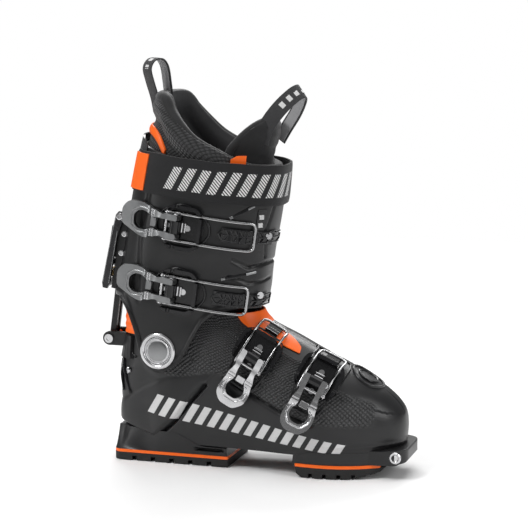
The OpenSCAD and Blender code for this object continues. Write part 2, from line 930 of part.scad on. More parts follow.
module collar_trim() {
    height = function (phi, side) curve(trim_middle, cuff_point(335, phi)[0]) + side * 4.5;
    sections = [for (a = [112 : 4 : 248]) patch_section(
        [for (s = [-1, 1]) cuff_point(height(a, s), a, cuff_wall + 0.3)],
        [for (s = [-1, 1]) cuff_point(height(a, s), a, cuff_wall - 1.6)])];
    color(orange)
        skin(sections);
}

module rear_loop() {
    color(cloth)
        band([[-114, 0, 352], [-117, 0, 366], [-123, 0, 384], [-126, 0, 397], [-121, 0, 405],
              [-112, 0, 406], [-106, 0, 399], [-103, 0, 384], [-101, 0, 366], [-102, 0, 352]],
             [0, 1, 0], 16, 2.2);
}

module tongue_loop() {
    color(cloth)
        band([[1, -22, 326], [6, -21, 342], [18, -17, 362], [31, -8, 376], [36, 3, 379],
              [34, 12, 372], [26, 19, 356], [15, 21, 338], [8, 21, 326]],
             [0.75, 0.1, -0.6], 16, 2.2);
}

// ================= walk mechanism on the cuff =================
module walk_housing() {
    color(black)
        at_spine()
            difference() {
                union() {
                    for (side = [-1, 1])
                        translate([-8, side * 10.2 - 1.3, -34])
                            cube([9.5, 2.6, 70]);
                    for (side = [-1, 1])
                        translate([walk_hinge[0], side * 10.2, walk_hinge[1]])
                            rod(4.4, 2.6);
                    for (side = [-1, 1])
                        translate([walk_hinge[0], side * 10.2 - 1.3, 34])
                            cube([11, 2.6, 11]);
                    translate([-3, -11.5, 44])
                        cube([4, 23, 4]);
                }
                translate([walk_hinge[0], 0, walk_hinge[1]])
                    rod(2, 60);
            }
}

module walk_bracket() {
    color(silver)
        at_spine()
            difference() {
                translate([-2.6, 0, 0])
                    rotate([0, -90, 0])
                        translate([0, 0, -2.2])
                            linear_extrude(height = 2.2)
                                hull() {
                                    translate([49, -10.5])
                                        square([3, 21]);
                                    translate([68, 0])
                                        circle(r = 6, $fn = 40);
                                }
                translate([-10, 0, 66])
                    rotate([0, 90, 0])
                        cylinder(r = 2, h = 20, $fn = 32);
            }
}

module walk_rivets() {
    color(silver)
        at_spine() {
            translate([-3.8, 0, 66])
                rotate([0, 90, 0]) {
                    cylinder(r = 2, h = 7, $fn = 32);
                    cylinder(r = 3.4, h = 1.1, $fn = 32);
                }
            for (side = [-1, 1], z = [4, 24])
                translate([-3, side * 12.2, z])
                    rod(2.6, 1.4);
        }
}

module walk_hinge_pin() {
    color(silver)
        at_spine()
            translate([walk_hinge[0], 0, walk_hinge[1]])
                rod(2, 32);
}

module walk_lever() {
    color(silver)
        at_spine()
            difference() {
                union() {
                    for (side = [-1, 1])
                        translate([0, side * 13.6, 0])
                            rotate([90, 0, 0])
                                linear_extrude(height = 2.8, center = true)
                                    polygon([[-5.5, 43], [-8, 46], [-12, 46], [-14.5, 42], [-16, 20],
                                             [-17.5, -30], [-16, -35], [-11, -35], [-9.5, -30], [-9.5, 20]]);
                    translate([-16.5, -14.5, 14])
                        cube([3, 29, 16]);
                    translate([-16.5, -14.5, -34])
                        cube([4, 29, 6]);
                }
                translate([walk_hinge[0], 0, walk_hinge[1]])
                    rod(2 + running_gap, 60);
                for (z = [-9, -20])
                    translate([-13.5, 0, z])
                        rod(1.5, 60);
            }
}

module walk_rollers() {
    color(dark)
        at_spine()
            for (z = [-9, -20])
                translate([-13.5, 0, z]) {
                    rod(1.5, 30);
                    rod(3.4, 22);
                }
}

lower_shell();
sole_frame();
front_gaiter();
rear_gaiter();
heel_tread();
heel_layer();
toe_tread();
toe_layer();
toe_insert();
heel_insert();
heel_insert_screws();
boot_board();
footbed();
liner_foot();
pivot_lateral();
pivot_medial();
heel_bracket();
walk_pin();
walk_bushings();
bracket_bolts();
instep_base();
instep_rack();
toe_base();
toe_rack();
shell_lever_pins();
shell_rivets();
cuff();
spoiler();
liner_shaft();
liner_tongue();
collar_trim();
power_strap();
strap_tab();
strap_ring();
upper_base();
upper_rack();
lower_base();
lower_rack();
rack_screws();
cuff_lever_pins();
cuff_rivets();
cuff_bushings();
walk_bracket();
walk_housing();
walk_rivets();
walk_hinge_pin();
rear_loop();
tongue_loop();
upper_lever();
upper_bail();
lower_lever();
lower_bail();
instep_lever();
instep_bail();
toe_lever();
toe_bail();
walk_lever();
walk_rollers();
walk_bar();
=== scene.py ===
"""Visual model of a four-buckle ski touring boot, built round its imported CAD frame."""

import math

import bmesh
import bpy
import numpy as np
from mathutils import Matrix, Vector


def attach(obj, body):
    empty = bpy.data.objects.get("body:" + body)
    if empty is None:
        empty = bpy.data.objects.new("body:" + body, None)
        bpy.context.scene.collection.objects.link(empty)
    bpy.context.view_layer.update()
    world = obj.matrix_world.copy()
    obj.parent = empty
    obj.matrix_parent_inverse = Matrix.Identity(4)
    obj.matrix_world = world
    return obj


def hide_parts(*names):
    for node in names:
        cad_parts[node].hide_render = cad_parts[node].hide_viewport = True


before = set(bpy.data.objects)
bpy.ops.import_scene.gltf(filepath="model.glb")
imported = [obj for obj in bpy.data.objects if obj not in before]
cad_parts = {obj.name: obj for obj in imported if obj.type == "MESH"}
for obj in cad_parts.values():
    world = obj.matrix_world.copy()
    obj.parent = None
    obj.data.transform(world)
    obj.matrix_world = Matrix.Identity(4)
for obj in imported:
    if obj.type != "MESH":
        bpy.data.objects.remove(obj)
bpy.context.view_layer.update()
MM = 0.001

# ---- Driving sizes, in millimetres, most of them the same as the CAD's ----
SOLE_LENGTH = 305
LUG_WIDTH = 69
LUG_HEIGHT = 31
SHELL_WALL = 4.5
CUFF_WALL = 4.2
LINER_WALL = 8
TONGUE = 6
PIVOT = (-98, 118)
STRAP_WIDTH = 40
STRAP_GAP = 2.6
STRAP_THICKNESS = 2.6
LEVER_LENGTH = 62
LEVER_WIDTH = 36
THROW = 10
WIRE = 2.8
LOOP_WIDTH = 16

# ---- The two sides of the boot, the letters of a lever's two arms, and the way up ----
SIDES = (("lateral", -1), ("medial", 1))
LETTER = {-1: "a", 1: "b"}
UP = (0, 0, 1)

# ---- Outlines, each a curve through (place, value) ----
SHELL_REAR = [(8, -138), (22, -144), (35, -148), (55, -150), (80, -150), (105, -148),
              (131, -143), (150, -138), (170, -132)]
SHELL_FRONT = [(8, 134), (22, 141), (35, 145), (50, 146), (62, 144), (70, 139), (78, 131),
               (86, 120), (95, 106), (106, 86), (118, 62), (131, 37), (143, 11), (150, 1),
               (158, -4), (170, -10)]
SHELL_WIDE = [(8, 60), (50, 60), (80, 30), (100, -10), (118, -50), (131, -70), (150, -84), (170, -84)]
SHELL_NOSE = [(8, 2.4), (60, 2.4), (86, 2.2), (110, 2.1), (150, 2.2), (170, 2.3)]
SHELL_HEEL = [(8, 4.6), (60, 4.6), (90, 4), (110, 3.2), (131, 2.7), (170, 2.5)]
SHELL_GIRTH = [(8, 0.84), (22, 0.9), (35, 0.96), (55, 1), (80, 1), (105, 0.98), (131, 0.97), (170, 0.95)]
WIDTH_LATERAL = [(-155, 36), (-120, 38), (-98, 41), (-50, 41), (0, 45), (40, 51), (70, 54),
                 (100, 53), (125, 48), (150, 42)]
WIDTH_MEDIAL = [(-155, 36), (-120, 37), (-98, 41), (-50, 39), (0, 42), (40, 48), (75, 52),
                (105, 51), (125, 47), (150, 42)]
FOOT_MIDDLE = [(-155, 0), (0, 0), (60, 1), (100, 3), (150, 4)]
CUFF_REAR = [(90, -159), (140, -159), (160, -157.5), (208, -147), (266, -137), (317, -126),
             (345, -119), (375, -112)]
CUFF_FRONT = [(90, -1), (158, -1), (181, 3), (199, 5), (220, 8), (240, 12), (264, 16),
              (306, 20), (345, 23), (375, 25)]
CUFF_HALF = [(90, 47), (130, 48), (160, 48.5), (200, 49.5), (240, 51.5), (280, 53.5), (320, 55),
             (375, 53)]
CUFF_SQUARE = [(90, 3), (160, 2.8), (220, 2.5), (320, 2.3), (375, 2.2)]
SHELL_RIM = [(-160, 131), (-136, 133), (-120, 140), (-98, 149), (-60, 151), (-20, 149), (10, 147)]
CUFF_LOW_RIM = [(-160, 168), (-143, 168), (-131, 156), (-122, 136), (-116, 115), (-110, 104),
                (-98, 97), (-86, 100), (-72, 112), (-62, 130), (-50, 149), (-31, 160), (5, 164)]
CUFF_TOP_RIM = [(-130, 324), (-100, 318), (-60, 306), (-20, 298), (25, 295)]
LINER_TOP_RIM = [(-125, 373), (-108, 371), (-96, 359), (-79, 345), (-60, 332), (-33, 320), (0, 306),
                 (25, 302)]
STRAP_MIDDLE = [(-130, 299), (25, 284)]
TRIM_MIDDLE = [(-125, 339), (-110, 336), (-98, 328), (-86, 314), (-70, 300)]

# ---- Buckles: pivot point, roll about Y, leans of the lever and the base, body, route of the bail,
# and on the cuff the two ends of the rack ----
BUCKLES = {
    "upper": {"at": (-76, -58.5, 245), "roll": 8, "lean": -14, "base": 0, "body": "cuff",
              "route": [(12, -3), (35, -4.5), (55, -8.5), (66, -13.2), (76.7, -20.1)], "rack": (47, 88)},
    "lower": {"at": (-82, -56, 181), "roll": 8, "lean": -12, "base": 2, "body": "cuff",
              "route": [(12, -3), (35, -3.8), (52, -6), (64, -10.2), (75, -15.6)], "rack": (45, 86)},
    "instep": {"at": (1, -48.2, 117), "roll": -61, "lean": 3, "base": 14, "body": "shell",
               "route": [(5, -3.2), (16, -5), (24, -8), (32, -14.6), (38, -25.2)]},
    "toe": {"at": (66, -50.5, 98), "roll": -66, "lean": 14, "base": 32, "body": "shell",
            "route": [(6, -3.4), (18, -9), (30, -17), (39, -26.5)]},
}


# ================= curves and surfaces =================

def curve(table, x):
    """Cubic curve through a table, at x, which may be an array."""
    t = np.array(table, float)
    x = np.asarray(x, float)
    last = len(t) - 1
    rise = np.array([(t[min(last, i + 1), 1] - t[max(0, i - 1), 1])
                     / (t[min(last, i + 1), 0] - t[max(0, i - 1), 0]) for i in range(len(t))])
    i = np.clip(np.searchsorted(t[:, 0], x, side="right") - 1, 0, last - 1)
    h = t[i + 1, 0] - t[i, 0]
    u = np.clip((x - t[i, 0]) / h, 0, 1)
    a, b, m, n = t[i, 1], t[i + 1, 1], rise[i] * h, rise[i + 1] * h
    return a + u * m + u * u * (3 * (b - a) - 2 * m - n) + u ** 3 * (2 * (a - b) + m + n)


def shell_point(z, phi, inset=0.0):
    """Point of the lower shell at a height and an angle round it in degrees, 0 at the toe."""
    z, phi, inset = np.broadcast_arrays(*[np.asarray(v, float) for v in (z, phi, inset)])
    c, s = np.cos(np.radians(phi)), np.sin(np.radians(phi))
    rear, front, wide = curve(SHELL_REAR, z) + inset, curve(SHELL_FRONT, z) - inset, curve(SHELL_WIDE, z)
    x = (rear + front) / 2 + (front - rear) / 2 * c
    ahead = x > wide
    t = np.where(ahead, (x - wide) / (front - wide), (wide - x) / (wide - rear))
    n = np.where(ahead, curve(SHELL_NOSE, z), curve(SHELL_HEEL, z))
    k = np.maximum(0, 1 - np.clip(t, 0, 1) ** n) ** (1 / n)
    w = np.where(s >= 0, curve(WIDTH_MEDIAL, x), curve(WIDTH_LATERAL, x)) * curve(SHELL_GIRTH, z) - inset
    return np.stack([x, curve(FOOT_MIDDLE, x) + np.where(s >= 0, 1, -1) * w * k, z], -1)


def cuff_point(z, phi, inset=0.0):
    """Point of the cuff at a height and an angle round it in degrees, 0 at the front."""
    z, phi, inset = np.broadcast_arrays(*[np.asarray(v, float) for v in (z, phi, inset)])
    c, s = np.cos(np.radians(phi)), np.sin(np.radians(phi))
    rear, front, n = curve(CUFF_REAR, z) + inset, curve(CUFF_FRONT, z) - inset, curve(CUFF_SQUARE, z)
    k = np.maximum(0, 1 - np.abs(c) ** n) ** (1 / n)
    y = np.where(s >= 0, 1, -1) * (curve(CUFF_HALF, z) - inset) * k
    return np.stack([(rear + front) / 2 + (front - rear) / 2 * c, y, z], -1)


def on_cuff(x, z, lift, side=-1):
    """Point over the cuff's side at x and z; side is -1 for the outer side."""
    rear, front = curve(CUFF_REAR, z), curve(CUFF_FRONT, z)
    c = np.clip((2 * np.asarray(x, float) - rear - front) / (front - rear), -1, 1)
    return cuff_point(z, side * np.degrees(np.arccos(c)), -lift)


def on_shell(x, z, lift, side=-1):
    """Point over the lower shell's side at x and z; side is -1 for the outer side."""
    rear, front = curve(SHELL_REAR, z), curve(SHELL_FRONT, z)
    c = np.clip((2 * np.asarray(x, float) - rear - front) / (front - rear), -1, 1)
    return shell_point(z, side * np.degrees(np.arccos(c)), -lift)


def rim(table, point, level, phi):
    """Height of a rim at each angle: the table gives it by x, which is read from the skin at one level."""
    return curve(table, point(level, phi)[..., 0])


def smooth(a, b, x):
    """0 below a, 1 above b, and a smooth step between."""
    u = np.clip((np.asarray(x, float) - a) / (np.asarray(b, float) - a), 0, 1)
    return u * u * (3 - 2 * u)


def near_line(px, pz, line):
    """Distance of points from a polyline, and which side of it they are on."""
    best = np.full(np.shape(px), 1e9)
    side = np.zeros(np.shape(px))
    for (ax, az), (bx, bz) in zip(line[:-1], line[1:]):
        dx, dz = bx - ax, bz - az
        t = np.clip(((px - ax) * dx + (pz - az) * dz) / (dx * dx + dz * dz), 0, 1)
        d = np.hypot(px - ax - t * dx, pz - az - t * dz)
        cross = dx * (pz - az) - dz * (px - ax)
        side = np.where(d < best, np.sign(cross), side)
        best = np.minimum(best, d)
    return best, side


def groove(px, pz, line, width, depth):
    """A rounded groove along the line, as a height below the surface."""
    d, _ = near_line(px, pz, line)
    return -depth * np.exp(-(d / width) ** 2)


def step_along(px, pz, line, reach, height):
    """A raised flap whose edge is the line: height at the edge, fading to nothing over the reach."""
    d, side = near_line(px, pz, line)
    return np.where(side > 0, height * (1 - smooth(0, reach, d)) * smooth(0, 1.2, d), 0)


# ================= meshes =================

def new_object(name, points, faces, material, body, smooth_angle=40):
    """A mesh from points in millimetres, with its material and the body it moves with."""
    mesh = bpy.data.meshes.new(name)
    mesh.from_pydata([tuple(float(c) * MM for c in p) for p in points], [], faces)
    mesh.validate()
    mesh.update()
    obj = bpy.data.objects.new(name, mesh)
    bpy.context.scene.collection.objects.link(obj)
    mesh.materials.append(material)
    mesh.shade_smooth()
    mesh.set_sharp_from_angle(angle=math.radians(smooth_angle))
    if body:
        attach(obj, body)
    return obj


def grid_faces(rows, columns, wrap, close_rows):
    """Quads over a grid of points; wrap joins its last column to its first, close_rows its rows."""
    faces = []
    for j in range(rows if close_rows else rows - 1):
        for i in range(columns if wrap else columns - 1):
            a, b = j * columns + i, j * columns + (i + 1) % columns
            c, d = ((j + 1) % rows) * columns + (i + 1) % columns, ((j + 1) % rows) * columns + i
            faces.append((a, b, c, d))
    return faces


def grid_object(name, grid, material, body, wrap=True, close_rows=False, caps=False, uv=None,
                smooth_angle=50):
    """A skin over a grid of points, as [row, column, xyz]; caps close its first and last rows."""
    rows, columns = grid.shape[:2]
    faces = grid_faces(rows, columns, wrap, close_rows)
    if caps:
        faces.append(tuple(range(columns - 1, -1, -1)))
        faces.append(tuple((rows - 1) * columns + i for i in range(columns)))
    obj = new_object(name, grid.reshape(-1, 3), faces, material, body, smooth_angle)
    if uv is not None:
        add_uv(obj, uv.reshape(-1, 2))
    return obj


def add_uv(obj, values):
    """Stores a pair of surface lengths for each point, for the materials to read."""
    layer = obj.data.uv_layers.new(name="surface")
    corner = np.empty(len(obj.data.loops), int)
    obj.data.loops.foreach_get("vertex_index", corner)
    layer.data.foreach_set("uv", np.ascontiguousarray(values[corner], dtype=np.float32).ravel())


def add_mask(obj, name, values):
    """Stores a value from 0 to 1 for each point, for a material to read."""
    layer = obj.data.attributes.new(name, "FLOAT", "POINT")
    layer.data.foreach_set("value", np.ascontiguousarray(values, dtype=np.float32).ravel())


def surface_uv(grid):
    """Lengths round and up a grid, in millimetres, from its first column and row."""
    across = np.linalg.norm(np.diff(grid, axis=1), axis=2)
    up = np.linalg.norm(np.diff(grid, axis=0), axis=2)
    u = np.concatenate([np.zeros((grid.shape[0], 1)), np.cumsum(across, 1)], 1)
    v = np.concatenate([np.zeros((1, grid.shape[1])), np.cumsum(up, 0)], 0)
    return np.stack([u - u[:, grid.shape[1] // 2][:, None], v], -1)


def bevel(obj, width, segments=2):
    """Rounds the edges of a piece that turn by more than 35 degrees, by a width in millimetres."""
    m = obj.modifiers.new("bevel", "BEVEL")
    m.width = width * MM
    m.segments = segments
    m.limit_method = "ANGLE"
    m.angle_limit = math.radians(35)
    m.harden_normals = False
    return obj


def rounded(points, radii, steps=5):
    """A closed outline with its corners rounded."""
    out = []
    n = len(points)
    for i, p in enumerate(points):
        p = np.array(p, float)
        a = np.array(points[i - 1], float) - p
        b = np.array(points[(i + 1) % n], float) - p
        la, lb = np.linalg.norm(a), np.linalg.norm(b)
        r = radii if np.isscalar(radii) else radii[i]
        reach = min(r, la * 0.48, lb * 0.48)
        for k in range(steps + 1):
            u = k / steps
            out.append(tuple(p + a / la * reach * (1 - u) ** 2 + b / lb * reach * u ** 2))
    return out


def placed(place, points):
    """The points moved by a matrix."""
    return [tuple(place @ Vector(p)) for p in points]


def plate(name, outline, low, high, place, material, body, edge):
    """A flat piece with an outline in x and y, between two heights, put in place by a matrix."""
    n = len(outline)
    points = [(x, y, h) for h in (low, high) for x, y in outline]
    faces = [(i, (i + 1) % n, n + (i + 1) % n, n + i) for i in range(n)]
    faces += [tuple(range(n - 1, -1, -1)), tuple(range(n, 2 * n))]
    obj = new_object(name, placed(place, points), faces, material, body)
    fix_normals(obj)
    return bevel(obj, edge) if edge else obj


def fix_normals(obj):
    """Turns every face outwards."""
    bm = bmesh.new()
    bm.from_mesh(obj.data)
    bmesh.ops.recalc_face_normals(bm, faces=bm.faces)
    bm.to_mesh(obj.data)
    bm.free()


def sweep(name, path, section, material, body, closed=False, reference=(0, 1, 0), scales=None,
          smooth_angle=50):
    """A section of (across, up) points carried along a path; reference lies across the path."""
    path = [Vector(p) for p in path]
    n = len(path)
    rings = []
    side = Vector(reference).normalized()
    for i, p in enumerate(path):
        before = path[i - 1] if closed or i else p
        after = path[(i + 1) % n] if closed or i < n - 1 else p
        along = (after - before).normalized()
        side = (side - along * side.dot(along)).normalized()
        up = along.cross(side)
        k = scales[i] if scales is not None else 1.0
        rings.append([p + side * (a * k) + up * (b * k) for a, b in section])
    grid = np.array([[tuple(q) for q in ring] for ring in rings])
    obj = grid_object(name, grid, material, body, wrap=True, close_rows=closed, caps=not closed,
                      smooth_angle=smooth_angle)
    fix_normals(obj)
    return obj


def angles(count):
    """Evenly spread angles round a full turn, in radians."""
    return np.linspace(0, 2 * math.pi, count, endpoint=False)


def circle(r, n):
    """A ring of n points."""
    return [(r * math.cos(a), r * math.sin(a)) for a in angles(n)]


def box_section(w, h, r):
    """A rectangle with rounded corners, for a sweep."""
    return rounded([(-w / 2, -h / 2), (w / 2, -h / 2), (w / 2, h / 2), (-w / 2, h / 2)], r, 3)


def spline(points, count):
    """Points along a smooth curve through the given ones, evenly spread."""
    p = np.array(points, float)
    t = np.concatenate([[0], np.cumsum(np.linalg.norm(np.diff(p, axis=0), axis=1))])
    s = np.linspace(0, t[-1], count)
    return np.stack([curve(list(zip(t, p[:, k])), s) for k in range(3)], -1)


def turned(name, profile, place, material, body, sides=48, smooth_angle=35):
    """A turned piece: profile is (radius, height) from the axis outwards and round."""
    grid = np.array([placed(place, [(x, y, h) for x, y in circle(r, sides)]) for r, h in profile])
    obj = grid_object(name, grid, material, body, caps=True, smooth_angle=smooth_angle)
    fix_normals(obj)
    return obj


def move(x=0.0, y=0.0, z=0.0):
    return Matrix.Translation((x, y, z))


def turn(degrees, axis):
    return Matrix.Rotation(math.radians(degrees), 4, axis)


# ================= materials =================
# Bars that stand where large prints are: their lean, and the inked share of their pitch. The row on the
# shell falls towards the toe by the angle with this sine and cosine, and its middle is at this height.
BAR_SLANT = 0.42
BAR_SHARE = 0.6
ROW_SINE = 0.16
ROW_COSINE = 0.9871
ROW_MIDDLE = 43.7
# Pitches in millimetres: of the shell's diamonds, the webbing's threads, and the strap's ribs and hatching
RELIEF_PITCH = 5.2
THREAD_PITCH = 1.2
RIB_PITCH = 1.1
HATCH_PITCH = 3.4


class Shade:
    """A short way to build a node material. Coordinates are in millimetres."""

    def __init__(self, name, **sockets):
        self.material = bpy.data.materials.new(name)
        self.material.use_nodes = True
        self.tree = self.material.node_tree
        self.shader = self.tree.nodes["Principled BSDF"]
        for key, value in sockets.items():
            self.shader.inputs[key.replace("_", " ")].default_value = value

    def node(self, kind, **settings):
        """A new node of one kind, with its settings."""
        n = self.tree.nodes.new(kind)
        for key, value in settings.items():
            setattr(n, key, value)
        return n

    def link(self, a, b):
        self.tree.links.new(a, b)

    def math(self, operation, *values):
        """A maths node; each value is a number or another node's output."""
        n = self.node("ShaderNodeMath", operation=operation)
        for socket, value in zip(n.inputs, values):
            if isinstance(value, (int, float)):
                socket.default_value = value
            else:
                self.link(value, socket)
        return n.outputs[0]

    def times(self, first, *others):
        for other in others:
            first = self.math("MULTIPLY", first, other)
        return first

    def plus(self, a, b):
        return self.math("ADD", a, b)

    def minus(self, a, b):
        return self.math("SUBTRACT", a, b)

    def less(self, a, b):
        return self.math("LESS_THAN", a, b)

    def more(self, a, b):
        return self.math("GREATER_THAN", a, b)

    def sine(self, a):
        return self.math("SINE", a)

    def absolute(self, a):
        return self.math("ABSOLUTE", a)

    def place(self):
        """Object coordinates in millimetres: x, y, z."""
        coordinates = self.node("ShaderNodeTexCoord").outputs["Object"]
        scaled = self.node("ShaderNodeVectorMath", operation="SCALE")
        scaled.inputs["Scale"].default_value = 1 / MM
        self.link(coordinates, scaled.inputs[0])
        split = self.node("ShaderNodeSeparateXYZ")
        self.link(scaled.outputs[0], split.inputs[0])
        return scaled.outputs[0], split.outputs

    def surface(self):
        """Lengths round and up a surface, in millimetres."""
        split = self.node("ShaderNodeSeparateXYZ")
        self.link(self.node("ShaderNodeUVMap", uv_map="surface").outputs[0], split.inputs[0])
        return split.outputs[0], split.outputs[1]

    def mask(self, name):
        """A value that add_mask stored."""
        return self.node("ShaderNodeAttribute", attribute_name=name).outputs["Fac"]

    def noise(self, vector, scale, detail=3, stretch=None):
        """Cloudy noise, 0 to 1; a stretch below 1 draws it out along that axis."""
        if stretch:
            m = self.node("ShaderNodeVectorMath", operation="MULTIPLY")
            m.inputs[1].default_value = stretch
            self.link(vector, m.inputs[0])
            vector = m.outputs[0]
        n = self.node("ShaderNodeTexNoise")
        n.inputs["Scale"].default_value = scale
        n.inputs["Detail"].default_value = detail
        self.link(vector, n.inputs["Vector"])
        return n.outputs["Fac"]

    def fade(self, value, low, high, to_low=0.0, to_high=1.0):
        """A smooth step of the value between two limits."""
        n = self.node("ShaderNodeMapRange", interpolation_type="SMOOTHSTEP")
        self.link(value, n.inputs["Value"])
        for key, v in (("From Min", low), ("From Max", high), ("To Min", to_low), ("To Max", to_high)):
            n.inputs[key].default_value = v
        return n.outputs[0]

    def colours(self, factor, a, b):
        """A mix of two colours, each a tuple or another node's output."""
        n = self.node("ShaderNodeMix", data_type="RGBA")
        self.link(factor, n.inputs[0])
        for socket, c in ((n.inputs[6], a), (n.inputs[7], b)):
            if isinstance(c, tuple):
                socket.default_value = (*c, 1)
            else:
                self.link(c, socket)
        return n.outputs[2]

    def colour(self, value):
        self.link(value, self.shader.inputs["Base Color"])

    def roughness(self, value):
        self.link(value, self.shader.inputs["Roughness"])

    def bump(self, *layers):
        """Each layer is (height from 0 to 1, its depth in millimetres)."""
        normal = None
        for height, distance in layers:
            b = self.node("ShaderNodeBump")
            b.inputs["Strength"].default_value = 1.0
            b.inputs["Distance"].default_value = distance * MM
            self.link(height, b.inputs["Height"])
            if normal:
                self.link(normal, b.inputs["Normal"])
            normal = b.outputs[0]
        self.link(normal, self.shader.inputs["Normal"])


def diamonds(s, u, v, pitch):
    """Raised diamonds between crossed grooves, 0 to 1."""
    a = s.absolute(s.sine(s.times(s.plus(u, v), math.pi / pitch)))
    b = s.absolute(s.sine(s.times(s.minus(u, v), math.pi / pitch)))
    return s.math("POWER", s.times(a, b), 0.6)


def slanted_bars(s, along, across, pitch, first, last, tall):
    """Ink of a row of whole slanted bars between two places along it, up to a height each way."""
    shifted = s.minus(along, s.times(across, BAR_SLANT))
    bar = s.less(s.math("FRACT", s.math("DIVIDE", shifted, pitch)), BAR_SHARE)
    return s.times(bar, s.more(shifted, first), s.less(shifted, last), s.less(s.absolute(across), tall))


def plastic(name, dark, light, rough=0.36, grain=0.02):
    """Moulded plastic with a fine grain, cloudy gloss and faint scuffs."""
    s = Shade(name, Roughness=rough, Specular_IOR_Level=0.4)
    place, _ = s.place()
    cloud = s.noise(place, 0.035, 4)
    scuff = s.fade(s.noise(place, 0.6, 6, (1, 1, 0.25)), 0.6, 0.75)
    s.colour(s.colours(s.plus(s.times(cloud, 0.7), s.times(scuff, 0.3)), dark, light))
    s.roughness(s.plus(s.times(cloud, 0.12), s.plus(rough - 0.06, s.times(scuff, 0.08))))
    s.bump((s.noise(place, 2.2, 4), grain))
    return s.material


def shell_plastic():
    """Black shell: relief diamonds where the mask says, their raised tops painted lighter as a painted
    highlight, and pale slanted bars low on the outer side.
    """
    s = Shade("shell_black", Roughness=0.36, Specular_IOR_Level=0.42)
    place, xyz = s.place()
    u, v = s.surface()
    relief = s.times(diamonds(s, u, v, RELIEF_PITCH), s.mask("relief"))
    cloud = s.noise(place, 0.03, 4)
    along = s.plus(s.times(xyz[0], ROW_COSINE), s.times(xyz[2], -ROW_SINE))
    across = s.plus(s.times(xyz[0], ROW_SINE), s.times(xyz[2], ROW_COSINE))
    across = s.minus(across, ROW_MIDDLE)
    tall = s.fade(along, -115, 90, 10.5, 6.2)
    ink = slanted_bars(s, along, across, pitch=13.0, first=-117.0, last=91.0, tall=tall)
    ink = s.times(ink, s.less(xyz[1], 0.0), s.mask("outer"))
    worn = s.fade(s.noise(place, 1.6, 6), 0.3, 0.42, 0.82, 1.0)
    black = s.colours(cloud, (0.007, 0.007, 0.0075), (0.014, 0.014, 0.015))
    # Painted highlight: the raised diamonds are painted lighter than the black between them
    black_with_painted_highlight = s.colours(relief, black, (0.055, 0.055, 0.057))
    s.colour(s.colours(s.times(ink, worn), black_with_painted_highlight, (0.62, 0.62, 0.62)))
    s.roughness(s.plus(s.times(cloud, 0.1), s.plus(0.3, s.times(relief, 0.1))))
    s.bump((s.noise(place, 2.5, 4), 0.015), (relief, 1.5), (ink, 0.06))
    return s.material


def metal(name, dark, light, rough, stretch=(1, 1, 0.1), grain=0.02):
    """Metal brushed along the axis in which the noise is stretched."""
    s = Shade(name, Metallic=1.0, Roughness=rough)
    place, _ = s.place()
    brushed = s.noise(place, 1.5, 5, stretch)
    cloud = s.noise(place, 0.08, 3)
    s.colour(s.colours(s.times(s.plus(brushed, cloud), 0.5), dark, light))
    s.roughness(s.plus(s.times(brushed, 0.16), rough - 0.08))
    s.bump((brushed, grain))
    return s.material


def knit(name, dark, light, pitch, rough, depth):
    """Open knit: rows of small cells."""
    s = Shade(name, Roughness=rough, Sheen_Weight=0.3, Sheen_Roughness=0.5, Specular_IOR_Level=0.2)
    u, v = s.surface()
    place, _ = s.place()
    cells = diamonds(s, u, s.times(v, 1.3), pitch)
    cloud = s.noise(place, 0.06, 4)
    s.colour(s.colours(s.times(cells, s.plus(cloud, 0.4)), dark, light))
    s.bump((cells, depth), (s.noise(place, 3.0, 3), 0.05))
    return s.material


def weave(name, dark, light):
    """Webbing: crossed threads along and across the surface."""
    s = Shade(name, Roughness=0.8, Sheen_Weight=0.2, Sheen_Roughness=0.4, Specular_IOR_Level=0.25)
    u, v = s.surface()
    a = s.sine(s.times(u, 2 * math.pi / THREAD_PITCH))
    b = s.sine(s.times(v, 2 * math.pi / THREAD_PITCH))
    threads = s.plus(s.times(a, b, 0.5), 0.5)
    s.colour(s.colours(threads, dark, light))
    s.bump((threads, 0.15))
    return s.material


def strap_cloth():
    """Black elastic with a pale row of hatched slanted bars."""
    s = Shade("strap_elastic", Roughness=0.75, Sheen_Weight=0.25, Sheen_Roughness=0.4,
              Specular_IOR_Level=0.25)
    u, v = s.surface()
    across = s.minus(v, STRAP_WIDTH / 2)
    ribs = s.plus(s.times(s.sine(s.times(u, 2 * math.pi / RIB_PITCH)), 0.5), 0.5)
    hatch = s.more(s.math("FRACT", s.math("DIVIDE", s.plus(u, v), HATCH_PITCH)), 0.42)
    ink = slanted_bars(s, u, across, pitch=15.0, first=-137.0, last=12.0, tall=11.5)
    ink = s.times(ink, s.mask("print"), hatch)
    s.colour(s.colours(ink, s.colours(ribs, (0.006, 0.006, 0.007), (0.02, 0.02, 0.021)), (0.7, 0.7, 0.7)))
    s.bump((ribs, 0.12))
    return s.material


def lining(name, dark, light):
    """Brushed cloth with soft folds."""
    s = Shade(name, Roughness=0.7, Sheen_Weight=0.35, Sheen_Roughness=0.4, Specular_IOR_Level=0.25)
    place, _ = s.place()
    fibre = s.noise(place, 2.0, 5, (1, 1, 0.4))
    fold = s.noise(place, 0.05, 3)
    s.colour(s.colours(s.times(s.plus(fibre, fold), 0.5), dark, light))
    s.bump((fibre, 0.08), (fold, 1.2))
    return s.material


